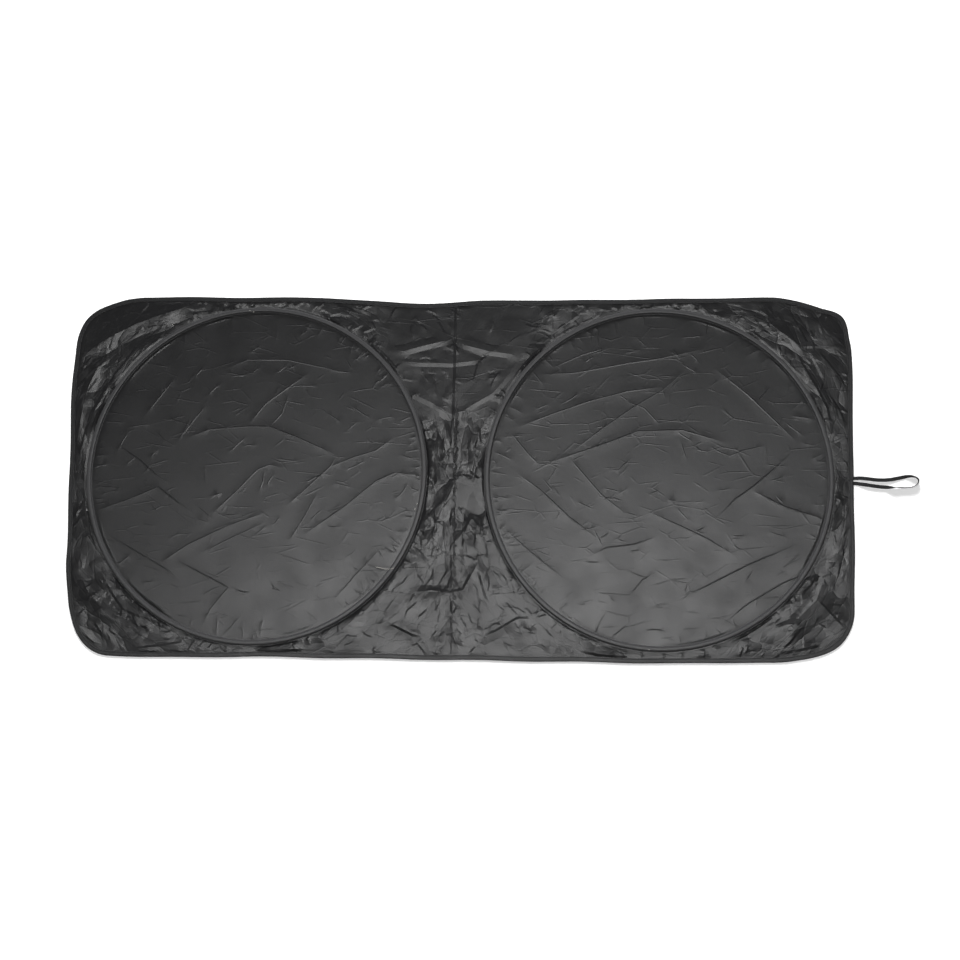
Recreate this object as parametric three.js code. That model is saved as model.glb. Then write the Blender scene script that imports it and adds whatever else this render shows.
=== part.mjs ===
// Folding windscreen sunshade, lying open on a table.
// One coated polyester sheet is held out by two spring steel hoops, each sewn
// under a tape casing, with a binding tape folded round the hem and a thin
// elastic loop at the middle of one end. X runs along the sheet, Y across it,
// and Z is up from the table. The origin is the middle of the sheet.
import * as THREE from 'three';

// Driving dimensions, in millimetres
const HOOP_DIAMETER = 650; // centre line of each hoop
const HOOP_GAP = 120; // between the two centre lines at the waist
const END_MARGIN = 40; // hoop to the end of the sheet
const SIDE_MARGIN = 25; // hoop to the long side of the sheet
const CORNER_RADIUS = 100;
const CLOTH = 0.3;
const CLEARANCE = 0.3; // between pieces that lie on each other
const BINDING_WIDTH = 8;
const BINDING_TAPE = 0.5;
const CASING_WIDTH = 11;
const CASING_TAPE = 0.4;
const CASING_FLARE = 1.2; // how far the casing's sides spread at their foot
const STRIP_HEIGHT = 3;
const STRIP_THICKNESS = 0.8;
const STRIP_END_GAP = 1;
const SLEEVE_LENGTH = 24;
const SLEEVE_WALL = 0.4;
const STRAP_WIDTH = 7;
const STRAP_THICKNESS = 1;
const STRAP_TAIL = 16; // sewn in under the hem
const STRAP_Y = -4; // middle of the loop, across the sheet
const STRAP_UPRIGHT = 0.8; // share of its reach at which the loop stands fully on its edge
const FOLD_RISE = 2.4; // an ordinary crease inside a hoop
const FOLD_FOOT = 12; // half the width of such a crease
const CRUMPLE_RISE = 5.5; // an ordinary fold outside the hoops
const CRUMPLE_FOOT = 14;
const CRUMPLE_NOISE = 2.6; // loose cloth between the folds
const EDGE_WAVE = 0.8; // how far the hem strays from a straight line
const EDGE_WAVE_LENGTH = 190;
const REST_SPOT = 22; // radius of the flat spot under the waist
const FADE = 14; // over which a fold dies out beside a hoop or a hem
const ROLL_LENGTH = 232; // of the slow waves in the loose cloth, along the sheet
const ROLL_WIDTH = 182; // and across it
const ROLL_SKEW = 565;

// Steps of the facets, in millimetres
const HEM_STEP = 26;
const HEM_STEP_LEAST = 13;
const FOLD_STEP = 22;
const DISC_STEP = 40;
const FIELD_STEP = 24;
const STRAP_STEP = 6;
const RIM_MARGIN = 0.6; // flat cloth past the casing's edge
const HEM_MARGIN = 1.5; // flat cloth past the binding's edge
const SLEEVE_ROOM = 4; // straight length that a side of the hoop keeps past its sleeve
const KEEP_FROM_EDGE = 7;
const KEEP_APART = 9;
const GRID_APART = 0.62; // share of the step that loose points keep from the rest
const GRID_JITTER = 0.4; // share of the step that they stray by

// Sizes that follow
const HOOP_RADIUS = HOOP_DIAMETER / 2;
const HOOP_X = HOOP_RADIUS + HOOP_GAP / 2;
const HALF_LENGTH = HOOP_X + HOOP_RADIUS + END_MARGIN;
const HALF_WIDTH = HOOP_RADIUS + SIDE_MARGIN;
const HOOP_SIDES = Math.floor(Math.PI / Math.asin((SLEEVE_LENGTH + SLEEVE_ROOM) / 2 / HOOP_RADIUS));
const RIM_HALF = CASING_WIDTH / 2 + RIM_MARGIN;
const HEM_DEPTH = BINDING_WIDTH + HEM_MARGIN;
const HEM_LEVEL = BINDING_TAPE + CLEARANCE;
const TURN = 2 * Math.PI;

// Hoops: where each stands and in which side its strip is joined
const HOOPS = [
  { name: 'left', x: -HOOP_X, joinAngle: -22 },
  { name: 'right', x: HOOP_X, joinAngle: -33 },
];

// Creases of the cloth inside the hoops, as shares of the hoop's radius
const DISC_FOLDS = {
  left: [
    [[-0.42, 0.21], [-0.29, 0.26], [-0.06, 0.28], [0.07, 0.28], [0.23, 0.22], [0.48, 0.11]],
    [[-0.9, -0.23], [-0.76, -0.17], [-0.58, -0.09], [-0.36, -0.25]],
    [[-0.85, 0.17], [-0.7, 0.07], [-0.58, -0.03]],
    [[0.21, -0.18], [0.44, 0.04], [0.58, 0.1], [0.71, 0.14], [0.8, 0.21]],
    [[0.31, -0.36], [0.53, -0.2], [0.72, -0.04], [0.83, 0.01], [0.93, -0.01]],
    [[-0.55, -0.55], [-0.38, -0.43], [-0.16, -0.32], [0.06, -0.24]],
    [[-0.24, -0.24], [-0.11, -0.11], [0.01, 0.02], [0.16, 0.03]],
    [[-0.2, 0.64], [-0.08, 0.69], [0.16, 0.69], [0.54, 0.61]],
    [[-0.06, 0.29], [0.04, 0.42], [0.29, 0.61]],
    [[-0.86, -0.38], [-0.66, -0.49], [-0.42, -0.64]],
    [[-0.47, -0.51], [-0.27, -0.61], [-0.13, -0.68], [-0.27, -0.88]],
    [[0.22, -0.4], [0.31, -0.24], [0.37, -0.12]],
    [[0.5, -0.74], [0.61, -0.6], [0.75, -0.45]],
    [[-0.68, 0.35], [-0.52, 0.57]],
  ],
  right: [
    [[-0.66, 0.07], [-0.49, 0.13], [-0.27, 0.21], [-0.12, 0.27], [0.14, 0.28], [0.38, 0.21]],
    [[-0.72, 0.57], [-0.49, 0.62], [-0.18, 0.68], [0.01, 0.71], [0.27, 0.77]],
    [[-0.86, 0.25], [-0.76, 0.13], [-0.69, 0.06]],
    [[-0.82, 0.29], [-0.62, 0.37], [-0.4, 0.45], [-0.18, 0.51], [0.03, 0.54]],
    [[-0.52, 0.13], [-0.33, 0.28], [-0.15, 0.41], [0.03, 0.52], [0.15, 0.63]],
    [[0.55, -0.08], [0.73, -0.17], [0.92, -0.23]],
    [[0.32, -0.26], [0.44, -0.13], [0.55, -0.05], [0.77, 0.14]],
    [[-0.82, 0.01], [-0.68, -0.09], [-0.52, -0.24], [-0.35, -0.37]],
    [[-0.52, 0.11], [-0.33, -0.11], [-0.19, -0.22]],
    [[-0.39, -0.47], [-0.3, -0.42], [-0.15, -0.4], [-0.02, -0.36]],
    [[0.11, -0.71], [0.28, -0.63], [0.53, -0.5], [0.79, -0.39]],
    [[-0.05, -0.21], [0.13, -0.29], [0.28, -0.36], [0.44, -0.46]],
    [[0.34, 0.65], [0.53, 0.49], [0.74, 0.28]],
    [[-0.89, -0.32], [-0.75, -0.44], [-0.55, -0.6]],
    [[-0.18, -0.71], [-0.09, -0.6], [-0.02, -0.56]],
  ],
};

// Folds of the loose cloth outside the hoops, as shares of half the length and half the width
const FIELD_FOLDS = [
  // Upper left corner
  [[-0.97, 0.68], [-0.92, 0.75], [-0.85, 0.84], [-0.79, 0.885], [-0.74, 0.915], [-0.68, 0.95]],
  [[-0.98, 0.55], [-0.93, 0.65]],
  [[-0.976, 0.07], [-0.966, 0.19], [-0.951, 0.33], [-0.93, 0.43], [-0.89, 0.54]],
  // Lower left corner
  [[-0.9, -0.56], [-0.86, -0.68], [-0.83, -0.76], [-0.75, -0.84]],
  [[-0.94, -0.72], [-0.9, -0.66]],
  [[-0.91, -0.82], [-0.89, -0.88]],
  [[-0.82, -0.94], [-0.73, -0.95], [-0.65, -0.94]],
  [[-0.95, -0.45], [-0.955, -0.56]],
  // Upper right corner
  [[0.73, 0.9], [0.77, 0.85], [0.82, 0.79], [0.857, 0.72]],
  [[0.856, 0.9], [0.893, 0.75]],
  [[0.857, 0.73], [0.885, 0.61], [0.911, 0.51], [0.938, 0.39], [0.95, 0.27]],
  [[0.915, 0.72], [0.952, 0.62], [0.976, 0.5]],
  [[0.9, 0.9], [0.96, 0.79]],
  [[0.9, 0.73], [0.975, 0.73]],
  // Lower right corner
  [[0.895, -0.5], [0.87, -0.61], [0.83, -0.69], [0.77, -0.78]],
  [[0.9, -0.64], [0.93, -0.71], [0.96, -0.79]],
  [[0.79, -0.86], [0.86, -0.79]],
  [[0.86, -0.79], [0.83, -0.88], [0.81, -0.93]],
  [[0.95, -0.35], [0.96, -0.5]],
  // Upper part of the waist
  [[-0.2, 0.68], [-0.138, 0.694], [-0.094, 0.722], [-0.02, 0.76]],
  [[0.02, 0.74], [0.078, 0.696], [0.139, 0.68], [0.19, 0.7]],
  [[-0.173, 0.61], [-0.103, 0.61], [0, 0.6], [0.046, 0.61], [0.11, 0.62]],
  [[-0.115, 0.454], [-0.06, 0.395], [-0.015, 0.337], [0.014, 0.353], [0.092, 0.457], [0.145, 0.58]],
  [[-0.01, 0.96], [-0.012, 0.6], [-0.013, 0.37]],
  // Narrow part of the waist
  [[-0.055, 0.25], [-0.06, 0.1], [-0.06, -0.02], [-0.06, -0.15], [-0.075, -0.28], [-0.11, -0.4]],
  [[0.04, 0.25], [0.05, 0.12], [0.058, -0.01], [0.07, -0.14], [0.09, -0.26], [0.13, -0.42]],
  [[-0.01, 0.3], [-0.012, 0.12]],
  [[-0.082, -0.3], [-0.045, -0.2], [-0.008, -0.12]],
  [[0, -0.38], [0.04, -0.25], [0.06, -0.35]],
  // Lower part of the waist
  [[-0.087, -0.643], [-0.049, -0.632], [-0.01, -0.646], [0.026, -0.63], [0.06, -0.489], [0.081, -0.644]],
  [[-0.185, -0.79], [-0.135, -0.83], [-0.097, -0.869]],
  [[0.073, -0.884], [0.111, -0.847], [0.163, -0.779], [0.2, -0.78]],
  [[-0.177, -0.76], [-0.142, -0.671]],
  [[-0.004, -0.48], [0, -0.75], [0.002, -0.95]],
];

// Where the hem is drawn in or out: place as shares, outward pull and reach in millimetres
const HEM_PULLS = [
  { at: [-1, 0.55], pull: 7, reach: 120 },
  { at: [-0.995, -0.76], pull: -18, reach: 95 },
  { at: [-0.15, 1], pull: -8, reach: 90 },
  { at: [0.73, 1], pull: 5, reach: 110 },
  { at: [0.9, 0.995], pull: -6, reach: 40 },
  { at: [0.966, 0.93], pull: 13, reach: 45 },
  { at: [1, 0.7], pull: 6, reach: 70 },
  { at: [0.98, -0.86], pull: -7, reach: 70 },
  { at: [0.9, -0.99], pull: -12, reach: 65 },
];

// Route of the elastic loop on the table, from where it leaves the hem
const STRAP_ROUTE = [
  [3.6, 4.6], [14, 5], [27, 3.6], [41, 1.9], [56, 1.5], [70, 2.8], [84, 5.6], [98, 8.4], [108, 9],
  [117, 6.8], [121, 2], [119.6, -3.4], [114.6, -8.6], [107, -11.6], [97, -12.8], [84, -12.6],
  [70, -12.4], [55, -11.8], [41, -10.4], [27, -8.4], [13, -6.2], [3.6, -5],
];

// Numbers that only look random: the same ones every time
function makeRandom(seed) {
  let state = seed;
  return () => {
    state = (state * 1664525 + 1013904223) % 4294967296;
    return state / 4294967296;
  };
}

// Rises smoothly from 0 to 1 as share goes from 0 to 1
function ease(share) {
  return THREE.MathUtils.smoothstep(share, 0, 1);
}

// Distance from a point to a line of points, and how far along the line it falls
function nearestOnLine(line, x, y, closed = false) {
  let best = { distance: Infinity, along: 0 };
  let travelled = 0;
  const count = closed ? line.length : line.length - 1;
  for (let i = 0; i < count; i += 1) {
    const a = line[i];
    const b = line[(i + 1) % line.length];
    const [dx, dy] = [b.x - a.x, b.y - a.y];
    const length = Math.hypot(dx, dy);
    const share = THREE.MathUtils.clamp(((x - a.x) * dx + (y - a.y) * dy) / (length * length), 0, 1);
    const distance = Math.hypot(a.x + dx * share - x, a.y + dy * share - y);
    if (distance < best.distance) best = { distance, along: travelled + share * length };
    travelled += length;
  }
  return best;
}

// Whether a point lies inside a closed line
function isInside(line, x, y) {
  let inside = false;
  line.forEach((a, i) => {
    const b = line[(i + 1) % line.length];
    const crosses = a.y > y !== b.y > y;
    if (crosses && x < a.x + ((b.x - a.x) * (y - a.y)) / (b.y - a.y)) inside = !inside;
  });
  return inside;
}

// The folds in millimetres, each with its rise and the half width of its foot
function makeFolds() {
  const folds = [];
  const addFold = (shares, place, rise, foot) => {
    const line = shares.map(place);
    const length = line.slice(1).reduce((sum, p, i) => sum + p.distanceTo(line[i]), 0);
    folds.push({ line, length, rise, foot });
  };
  HOOPS.forEach((hoop) => {
    const place = ([x, y]) => new THREE.Vector2(hoop.x + x * HOOP_RADIUS, y * HOOP_RADIUS);
    DISC_FOLDS[hoop.name].forEach((shares) => addFold(shares, place, FOLD_RISE, FOLD_FOOT));
  });
  const place = ([x, y]) => new THREE.Vector2(x * HALF_LENGTH, y * HALF_WIDTH);
  FIELD_FOLDS.forEach((shares) => addFold(shares, place, CRUMPLE_RISE, CRUMPLE_FOOT));
  return folds;
}

// Height of the highest fold over a point, each fold dying out at its ends
function foldHeight(folds, x, y) {
  return folds.reduce((height, fold) => {
    const { distance, along } = nearestOnLine(fold.line, x, y);
    if (distance >= fold.foot) return height;
    const end = Math.min(along, fold.length - along) + fold.foot / 2;
    const taper = Math.min(1, end / fold.foot);
    return Math.max(height, fold.rise * taper * (1 - distance / fold.foot));
  }, 0);
}

// How much the hem stands up to pass over the tails of the elastic loop
function strapLift(x, y) {
  const plateau = STRAP_TAIL + 2 * STRAP_WIDTH;
  const away = Math.hypot(x - HALF_LENGTH, y - STRAP_Y);
  return (STRAP_THICKNESS + CLEARANCE) * (1 - ease((away - plateau) / plateau));
}

// The hem as stations, each with its edge point and its outward direction
function makeHem() {
  const [cx, cy] = [HALF_LENGTH - CORNER_RADIUS, HALF_WIDTH - CORNER_RADIUS];
  const path = new THREE.Path();
  path.moveTo(HALF_LENGTH, 0);
  path.lineTo(HALF_LENGTH, cy);
  path.absarc(cx, cy, CORNER_RADIUS, 0, Math.PI / 2);
  path.lineTo(-cx, HALF_WIDTH);
  path.absarc(-cx, cy, CORNER_RADIUS, Math.PI / 2, Math.PI);
  path.lineTo(-HALF_LENGTH, -cy);
  path.absarc(-cx, -cy, CORNER_RADIUS, Math.PI, Math.PI * 1.5);
  path.lineTo(cx, -HALF_WIDTH);
  path.absarc(cx, -cy, CORNER_RADIUS, Math.PI * 1.5, Math.PI * 2);
  path.lineTo(HALF_LENGTH, 0);
  const length = path.getLength();
  const waves = Math.round(length / EDGE_WAVE_LENGTH);
  const step = 1 / length;

  const edgeAt = (share) => {
    const at = path.getPoint(share);
    const ahead = path.getPoint((share + step) % 1);
    const behind = path.getPoint((share - step + 1) % 1);
    const out = new THREE.Vector2(ahead.y - behind.y, behind.x - ahead.x).normalize();
    const pull = HEM_PULLS.reduce((sum, one) => {
      const away = Math.hypot(at.x - one.at[0] * HALF_LENGTH, at.y - one.at[1] * HALF_WIDTH);
      return sum + one.pull * (1 - ease(away / one.reach));
    }, EDGE_WAVE * Math.sin(share * waves * TURN));
    return at.addScaledVector(out, pull);
  };

  const shares = [];
  let travelled = 0;
  while (travelled < length) {
    shares.push(travelled);
    const at = path.getPoint(travelled / length);
    const toHoop = Math.min(...HOOPS.map((hoop) => Math.hypot(at.x - hoop.x, at.y) - HOOP_RADIUS));
    travelled += THREE.MathUtils.clamp(toHoop - RIM_HALF - HEM_DEPTH / 2, HEM_STEP_LEAST, HEM_STEP);
  }
  const edge = shares.map((share) => edgeAt(share / travelled));
  return edge.map((at, i) => {
    const ahead = edge[(i + 1) % edge.length];
    const behind = edge[(i + edge.length - 1) % edge.length];
    return { at, out: new THREE.Vector2(ahead.y - behind.y, behind.x - ahead.x).normalize() };
  });
}

// Fills a flat region with triangles that are as even as its points allow.
// The outline and the holes are lists of point numbers and their sides are all kept.
function triangulate(points, outline, holes, inside) {
  const span = points.length;
  const rim = [outline, ...holes].flat();
  const flat = (loop) => loop.map((i) => new THREE.Vector2(points[i].x, points[i].y));
  const faces = [];
  const owner = new Map();

  const turn = (a, b, c) =>
    (points[b].x - points[a].x) * (points[c].y - points[a].y) -
    (points[b].y - points[a].y) * (points[c].x - points[a].x);
  const setFace = (number, corners) => {
    faces[number] = corners;
    corners.forEach((corner, i) => owner.set(corner * span + corners[(i + 1) % 3], number));
  };
  const circleHolds = (a, b, c, d) => {
    const [ax, ay, bx, by, cx, cy] = [a, b, c].flatMap((i) => [
      points[i].x - points[d].x,
      points[i].y - points[d].y,
    ]);
    const [a2, b2, c2] = [ax * ax + ay * ay, bx * bx + by * by, cx * cx + cy * cy];
    const value = ax * (by * c2 - cy * b2) - ay * (bx * c2 - cx * b2) + a2 * (bx * cy - cx * by);
    return value > 1e-3;
  };
  const third = (number, a, b) => faces[number].find((corner) => corner !== a && corner !== b);
  const settle = (sides) => {
    while (sides.length > 0) {
      const [a, b] = sides.pop();
      const near = owner.get(a * span + b);
      const far = owner.get(b * span + a);
      if (near === undefined || far === undefined) continue;
      const c = third(near, a, b);
      const d = third(far, a, b);
      if (!circleHolds(a, b, c, d)) continue;
      owner.delete(a * span + b);
      owner.delete(b * span + a);
      setFace(near, [a, d, c]);
      setFace(far, [d, b, c]);
      sides.push([a, d], [d, b], [b, c], [c, a]);
    }
  };

  THREE.ShapeUtils.triangulateShape(flat(outline), holes.map(flat)).forEach((corners) => {
    const [a, b, c] = corners.map((i) => rim[i]);
    setFace(faces.length, turn(a, b, c) > 0 ? [a, b, c] : [a, c, b]);
  });
  settle(faces.flatMap(([a, b, c]) => [[a, b], [b, c], [c, a]]));

  inside.forEach((p) => {
    const holds = ([a, b, c]) => turn(a, b, p) > 0 && turn(b, c, p) > 0 && turn(c, a, p) > 0;
    const number = faces.findIndex(holds);
    if (number < 0) return;
    const [a, b, c] = faces[number];
    setFace(number, [a, b, p]);
    setFace(faces.length, [b, c, p]);
    setFace(faces.length, [c, a, p]);
    settle([[a, b], [b, c], [c, a]]);
  });
  return faces;
}

// Points for the inside of a region: fold crests first, then their feet, then loose cloth
function scatterPoints(folds, allowed, step, random) {
  const kept = [];
  const offer = (x, y, apart) => {
    if (!allowed(x, y)) return;
    if (kept.every((p) => Math.hypot(p.x - x, p.y - y) > apart)) kept.push({ x, y });
  };
  const alongFold = (fold, side) => {
    const pieces = Math.max(1, Math.round(fold.length / FOLD_STEP));
    for (let k = 0; k <= pieces; k += 1) {
      let left = (fold.length * k) / pieces;
      let i = 0;
      while (i < fold.line.length - 2 && left > fold.line[i].distanceTo(fold.line[i + 1])) {
        left -= fold.line[i].distanceTo(fold.line[i + 1]);
        i += 1;
      }
      const ahead = fold.line[i + 1].clone().sub(fold.line[i]).normalize();
      const at = fold.line[i].clone().addScaledVector(ahead, left);
      offer(at.x - ahead.y * side * fold.foot, at.y + ahead.x * side * fold.foot, KEEP_APART);
    }
  };
  folds.forEach((fold) => alongFold(fold, 0));
  folds.forEach((fold) => {
    alongFold(fold, 1);
    alongFold(fold, -1);
  });
  const rows = Math.ceil(HALF_WIDTH / step);
  const columns = Math.ceil(HALF_LENGTH / step);
  for (let row = -rows; row <= rows; row += 1) {
    for (let column = -columns; column <= columns; column += 1) {
      const x = (column + (row % 2) / 2 + GRID_JITTER * (random() - 0.5)) * step;
      const y = (row + GRID_JITTER * (random() - 0.5)) * step;
      offer(x, y, GRID_APART * step);
    }
  }
  return kept;
}

// The whole sheet: flat under the casings and along the hem, creased in between
function makeSheet(hem) {
  const random = makeRandom(7);
  const folds = makeFolds();
  const points = [];
  const add = (list) => list.map((p) => points.push(p) - 1);

  const foldLine = hem.map(({ at, out }) => at.clone().addScaledVector(out, -HEM_DEPTH));
  const hemHeight = ({ at }) => HEM_LEVEL + strapLift(at.x, at.y);
  const edgeLoop = add(hem.map((station) => ({ ...xy(station.at), z: hemHeight(station) })));
  const foldLoop = add(hem.map((station, i) => ({ ...xy(foldLine[i]), z: hemHeight(station) })));
  const rims = HOOPS.map((hoop) =>
    [RIM_HALF, -RIM_HALF].map((offset) =>
      add(hoopCorners().map(([cos, sin]) => {
        const radius = HOOP_RADIUS + offset;
        return { x: hoop.x + radius * cos, y: radius * sin, z: 0 };
      })),
    ),
  );
  const restSpot = add([90, 210, 330].map((angle) => {
    const turned = THREE.MathUtils.degToRad(angle);
    return { x: REST_SPOT * Math.cos(turned), y: REST_SPOT * Math.sin(turned), z: 0 };
  }));

  const toRim = (x, y) =>
    Math.min(...HOOPS.map((hoop) => Math.abs(Math.hypot(x - hoop.x, y) - HOOP_RADIUS) - RIM_HALF));
  const inHoop = (x, y) => HOOPS.some((hoop) => Math.hypot(x - hoop.x, y) < HOOP_RADIUS);
  const clothHeight = (x, y, noise) => {
    const fromRim = toRim(x, y);
    const fromHem = nearestOnLine(foldLine, x, y, true).distance;
    const fromSpot = Math.hypot(x, y) - REST_SPOT;
    const rimShare = ease(fromRim / FADE);
    const hemShare = ease(fromHem / FADE);
    const spotShare = ease(fromSpot / FADE);
    const across = Math.cos((y / ROLL_WIDTH + x / ROLL_SKEW) * TURN);
    const roll = (1 + Math.sin((x / ROLL_LENGTH) * TURN) * across) / 2;
    const loose = foldHeight(folds, x, y) + noise * roll;
    return rimShare * (spotShare * hemShare * loose + strapLift(x, y)) + (1 - hemShare) * HEM_LEVEL;
  };

  const discAllowed = (x, y) => inHoop(x, y) && toRim(x, y) > KEEP_FROM_EDGE;
  const fieldAllowed = (x, y) =>
    !inHoop(x, y) &&
    toRim(x, y) > KEEP_FROM_EDGE &&
    Math.hypot(x, y) > REST_SPOT + KEEP_FROM_EDGE &&
    isInside(foldLine, x, y) &&
    nearestOnLine(foldLine, x, y, true).distance > KEEP_FROM_EDGE;
  const discPoints = scatterPoints(folds, discAllowed, DISC_STEP, random);
  const fieldPoints = scatterPoints(folds, fieldAllowed, FIELD_STEP, random);
  const lift = (list, noise) => list.map(({ x, y }) => ({ x, y, z: clothHeight(x, y, noise * random()) }));
  const discInside = add(lift(discPoints, CLOTH));
  const fieldInside = [...restSpot, ...add(lift(fieldPoints, CRUMPLE_NOISE))];

  const faces = [
    ...stripFaces(edgeLoop, foldLoop),
    ...triangulate(points, foldLoop, rims.map(([outer]) => outer), fieldInside),
  ];
  rims.forEach(([outer, inner], i) => {
    const mine = discInside.filter((p) => points[p].x > 0 === HOOPS[i].x > 0);
    faces.push(...stripFaces(outer, inner), ...triangulate(points, inner, [], mine));
  });
  return thicken(points, faces, edgeLoop);
}

// The plan place of a point
function xy({ x, y }) {
  return { x, y };
}

// Two triangles for each step between an outer loop and the loop inside it
function stripFaces(outer, inner) {
  return outer.flatMap((a, i) => {
    const next = (i + 1) % outer.length;
    return [[a, outer[next], inner[next]], [a, inner[next], inner[i]]];
  });
}

// Gives a surface the cloth's thickness and closes it round its edge
function thicken(points, faces, edgeLoop) {
  const count = points.length;
  const positions = [
    ...points.flatMap(({ x, y, z }) => [x, y, z + CLOTH]),
    ...points.flatMap(({ x, y, z }) => [x, y, z]),
  ];
  const index = faces.flatMap(([a, b, c]) => [a, b, c, a + count, c + count, b + count]);
  edgeLoop.forEach((a, i) => {
    const b = edgeLoop[(i + 1) % edgeLoop.length];
    index.push(a, a + count, b + count, a, b + count, b);
  });
  return makeGeometry(positions, index);
}

// A geometry from flat lists of coordinates and corner numbers
function makeGeometry(positions, index) {
  const geometry = new THREE.BufferGeometry();
  geometry.setAttribute('position', new THREE.Float32BufferAttribute(positions, 3));
  geometry.setIndex(index);
  return geometry;
}

// Joins sections of equal length, one after another, to one solid: a ring if closed,
// otherwise with a flat cap on the first and the last. Each section runs clockwise
// seen from the next one.
function sweep(sections, closed) {
  const size = sections[0].length;
  const positions = sections.flat(2);
  const index = [];
  const steps = closed ? sections.length : sections.length - 1;
  for (let k = 0; k < steps; k += 1) {
    const [from, to] = [k * size, ((k + 1) % sections.length) * size];
    for (let i = 0; i < size; i += 1) {
      const j = (i + 1) % size;
      index.push(from + i, from + j, to + j, from + i, to + j, to + i);
    }
  }
  if (!closed) {
    const last = (sections.length - 1) * size;
    for (let i = 1; i < size - 1; i += 1) {
      index.push(0, i + 1, i, last, last + i, last + i + 1);
    }
  }
  return makeGeometry(positions, index);
}

// Cosine and sine at each corner of a hoop's many-sided ring
function hoopCorners() {
  return Array.from({ length: HOOP_SIDES }, (_, k) => {
    const angle = (k / HOOP_SIDES) * TURN;
    return [Math.cos(angle), Math.sin(angle)];
  });
}

// The binding tape, folded round the sheet's edge
function makeBinding(hem) {
  const wall = CLEARANCE + BINDING_TAPE;
  const inner = HEM_LEVEL + CLOTH + CLEARANCE;
  const outline = [
    [-wall, 0],
    [BINDING_WIDTH, 0],
    [BINDING_WIDTH, BINDING_TAPE],
    [-CLEARANCE, BINDING_TAPE],
    [-CLEARANCE, inner],
    [BINDING_WIDTH, inner],
    [BINDING_WIDTH, inner + BINDING_TAPE],
    [-wall, inner + BINDING_TAPE],
  ];
  const sections = hem.map(({ at, out }) => {
    const lift = strapLift(at.x, at.y);
    return outline.map(([depth, z]) => [at.x - out.x * depth, at.y - out.y * depth, z + lift]);
  });
  return sweep(sections, true);
}

// Levels and half widths inside a casing, from the cloth up
const SLEEVE_FOOT = CLOTH + CLEARANCE;
const STRIP_FOOT = SLEEVE_FOOT + SLEEVE_WALL + CLEARANCE;
const SLEEVE_TOP = STRIP_FOOT + STRIP_HEIGHT + CLEARANCE + SLEEVE_WALL;
const CASING_ROOF = SLEEVE_TOP + CLEARANCE;
const SLEEVE_HALF = STRIP_THICKNESS / 2 + CLEARANCE + SLEEVE_WALL;
const CASING_HALF = SLEEVE_HALF + CLEARANCE;

// The tape that is sewn over a hoop: two flat edges and an arch between them
function makeCasing() {
  const foot = SLEEVE_FOOT;
  const edge = CASING_WIDTH / 2;
  const half = [
    [CASING_HALF + CASING_FLARE, foot],
    [edge, foot],
    [edge, foot + CASING_TAPE],
    [CASING_HALF + CASING_FLARE + CASING_TAPE, foot + CASING_TAPE],
    [CASING_HALF + CASING_TAPE, CASING_ROOF + CASING_TAPE],
  ];
  const profile = [
    [CASING_HALF, CASING_ROOF],
    ...half,
    ...half.toReversed().map(([x, z]) => [-x, z]),
    [-CASING_HALF, CASING_ROOF],
  ];
  const sections = hoopCorners().map(([cos, sin]) =>
    profile.map(([x, z]) => [(HOOP_RADIUS + x) * cos, (HOOP_RADIUS + x) * sin, z]),
  );
  return sweep(sections.toReversed(), true);
}

// The middle of the hoop's side that a joint lies in, and the direction along it
function joinSide(hoop) {
  const side = Math.floor((hoop.joinAngle / 360) * HOOP_SIDES);
  const angle = ((side + 0.5) / HOOP_SIDES) * TURN;
  const radius = HOOP_RADIUS * Math.cos(Math.PI / HOOP_SIDES);
  return { side, angle, radius };
}

// A rectangle across the hoop at a radius and angle, moved along its side by a length
function hoopSection({ angle, radius }, along, halfWidth, foot, top) {
  const [cos, sin] = [Math.cos(angle), Math.sin(angle)];
  const corners = [
    [-halfWidth, foot],
    [-halfWidth, top],
    [halfWidth, top],
    [halfWidth, foot],
  ];
  return corners.map(([x, z]) => [(radius + x) * cos - along * sin, (radius + x) * sin + along * cos, z]);
}

// The spring steel strip: a flat wire on its edge, bent round until its ends almost meet
function makeStrip(hoop) {
  const join = joinSide(hoop);
  const [foot, top] = [STRIP_FOOT, STRIP_FOOT + STRIP_HEIGHT];
  const half = STRIP_THICKNESS / 2;
  const sections = [hoopSection(join, STRIP_END_GAP / 2, half, foot, top)];
  for (let k = 1; k <= HOOP_SIDES; k += 1) {
    const angle = ((join.side + k) / HOOP_SIDES) * TURN;
    sections.push(hoopSection({ angle, radius: HOOP_RADIUS }, 0, half, foot, top));
  }
  sections.push(hoopSection(join, -STRIP_END_GAP / 2, half, foot, top));
  return sweep(sections, false);
}

// The sleeve that holds the strip's two ends together
function makeSleeve(hoop) {
  const join = joinSide(hoop);
  const reach = SLEEVE_LENGTH / 2;
  const outer = (along) => hoopSection(join, along, SLEEVE_HALF, SLEEVE_FOOT, SLEEVE_TOP);
  const inner = (along) =>
    hoopSection(join, along, SLEEVE_HALF - SLEEVE_WALL, SLEEVE_FOOT + SLEEVE_WALL, SLEEVE_TOP - SLEEVE_WALL);
  return sweep([outer(-reach), outer(reach), inner(reach), inner(-reach)], true);
}

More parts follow.
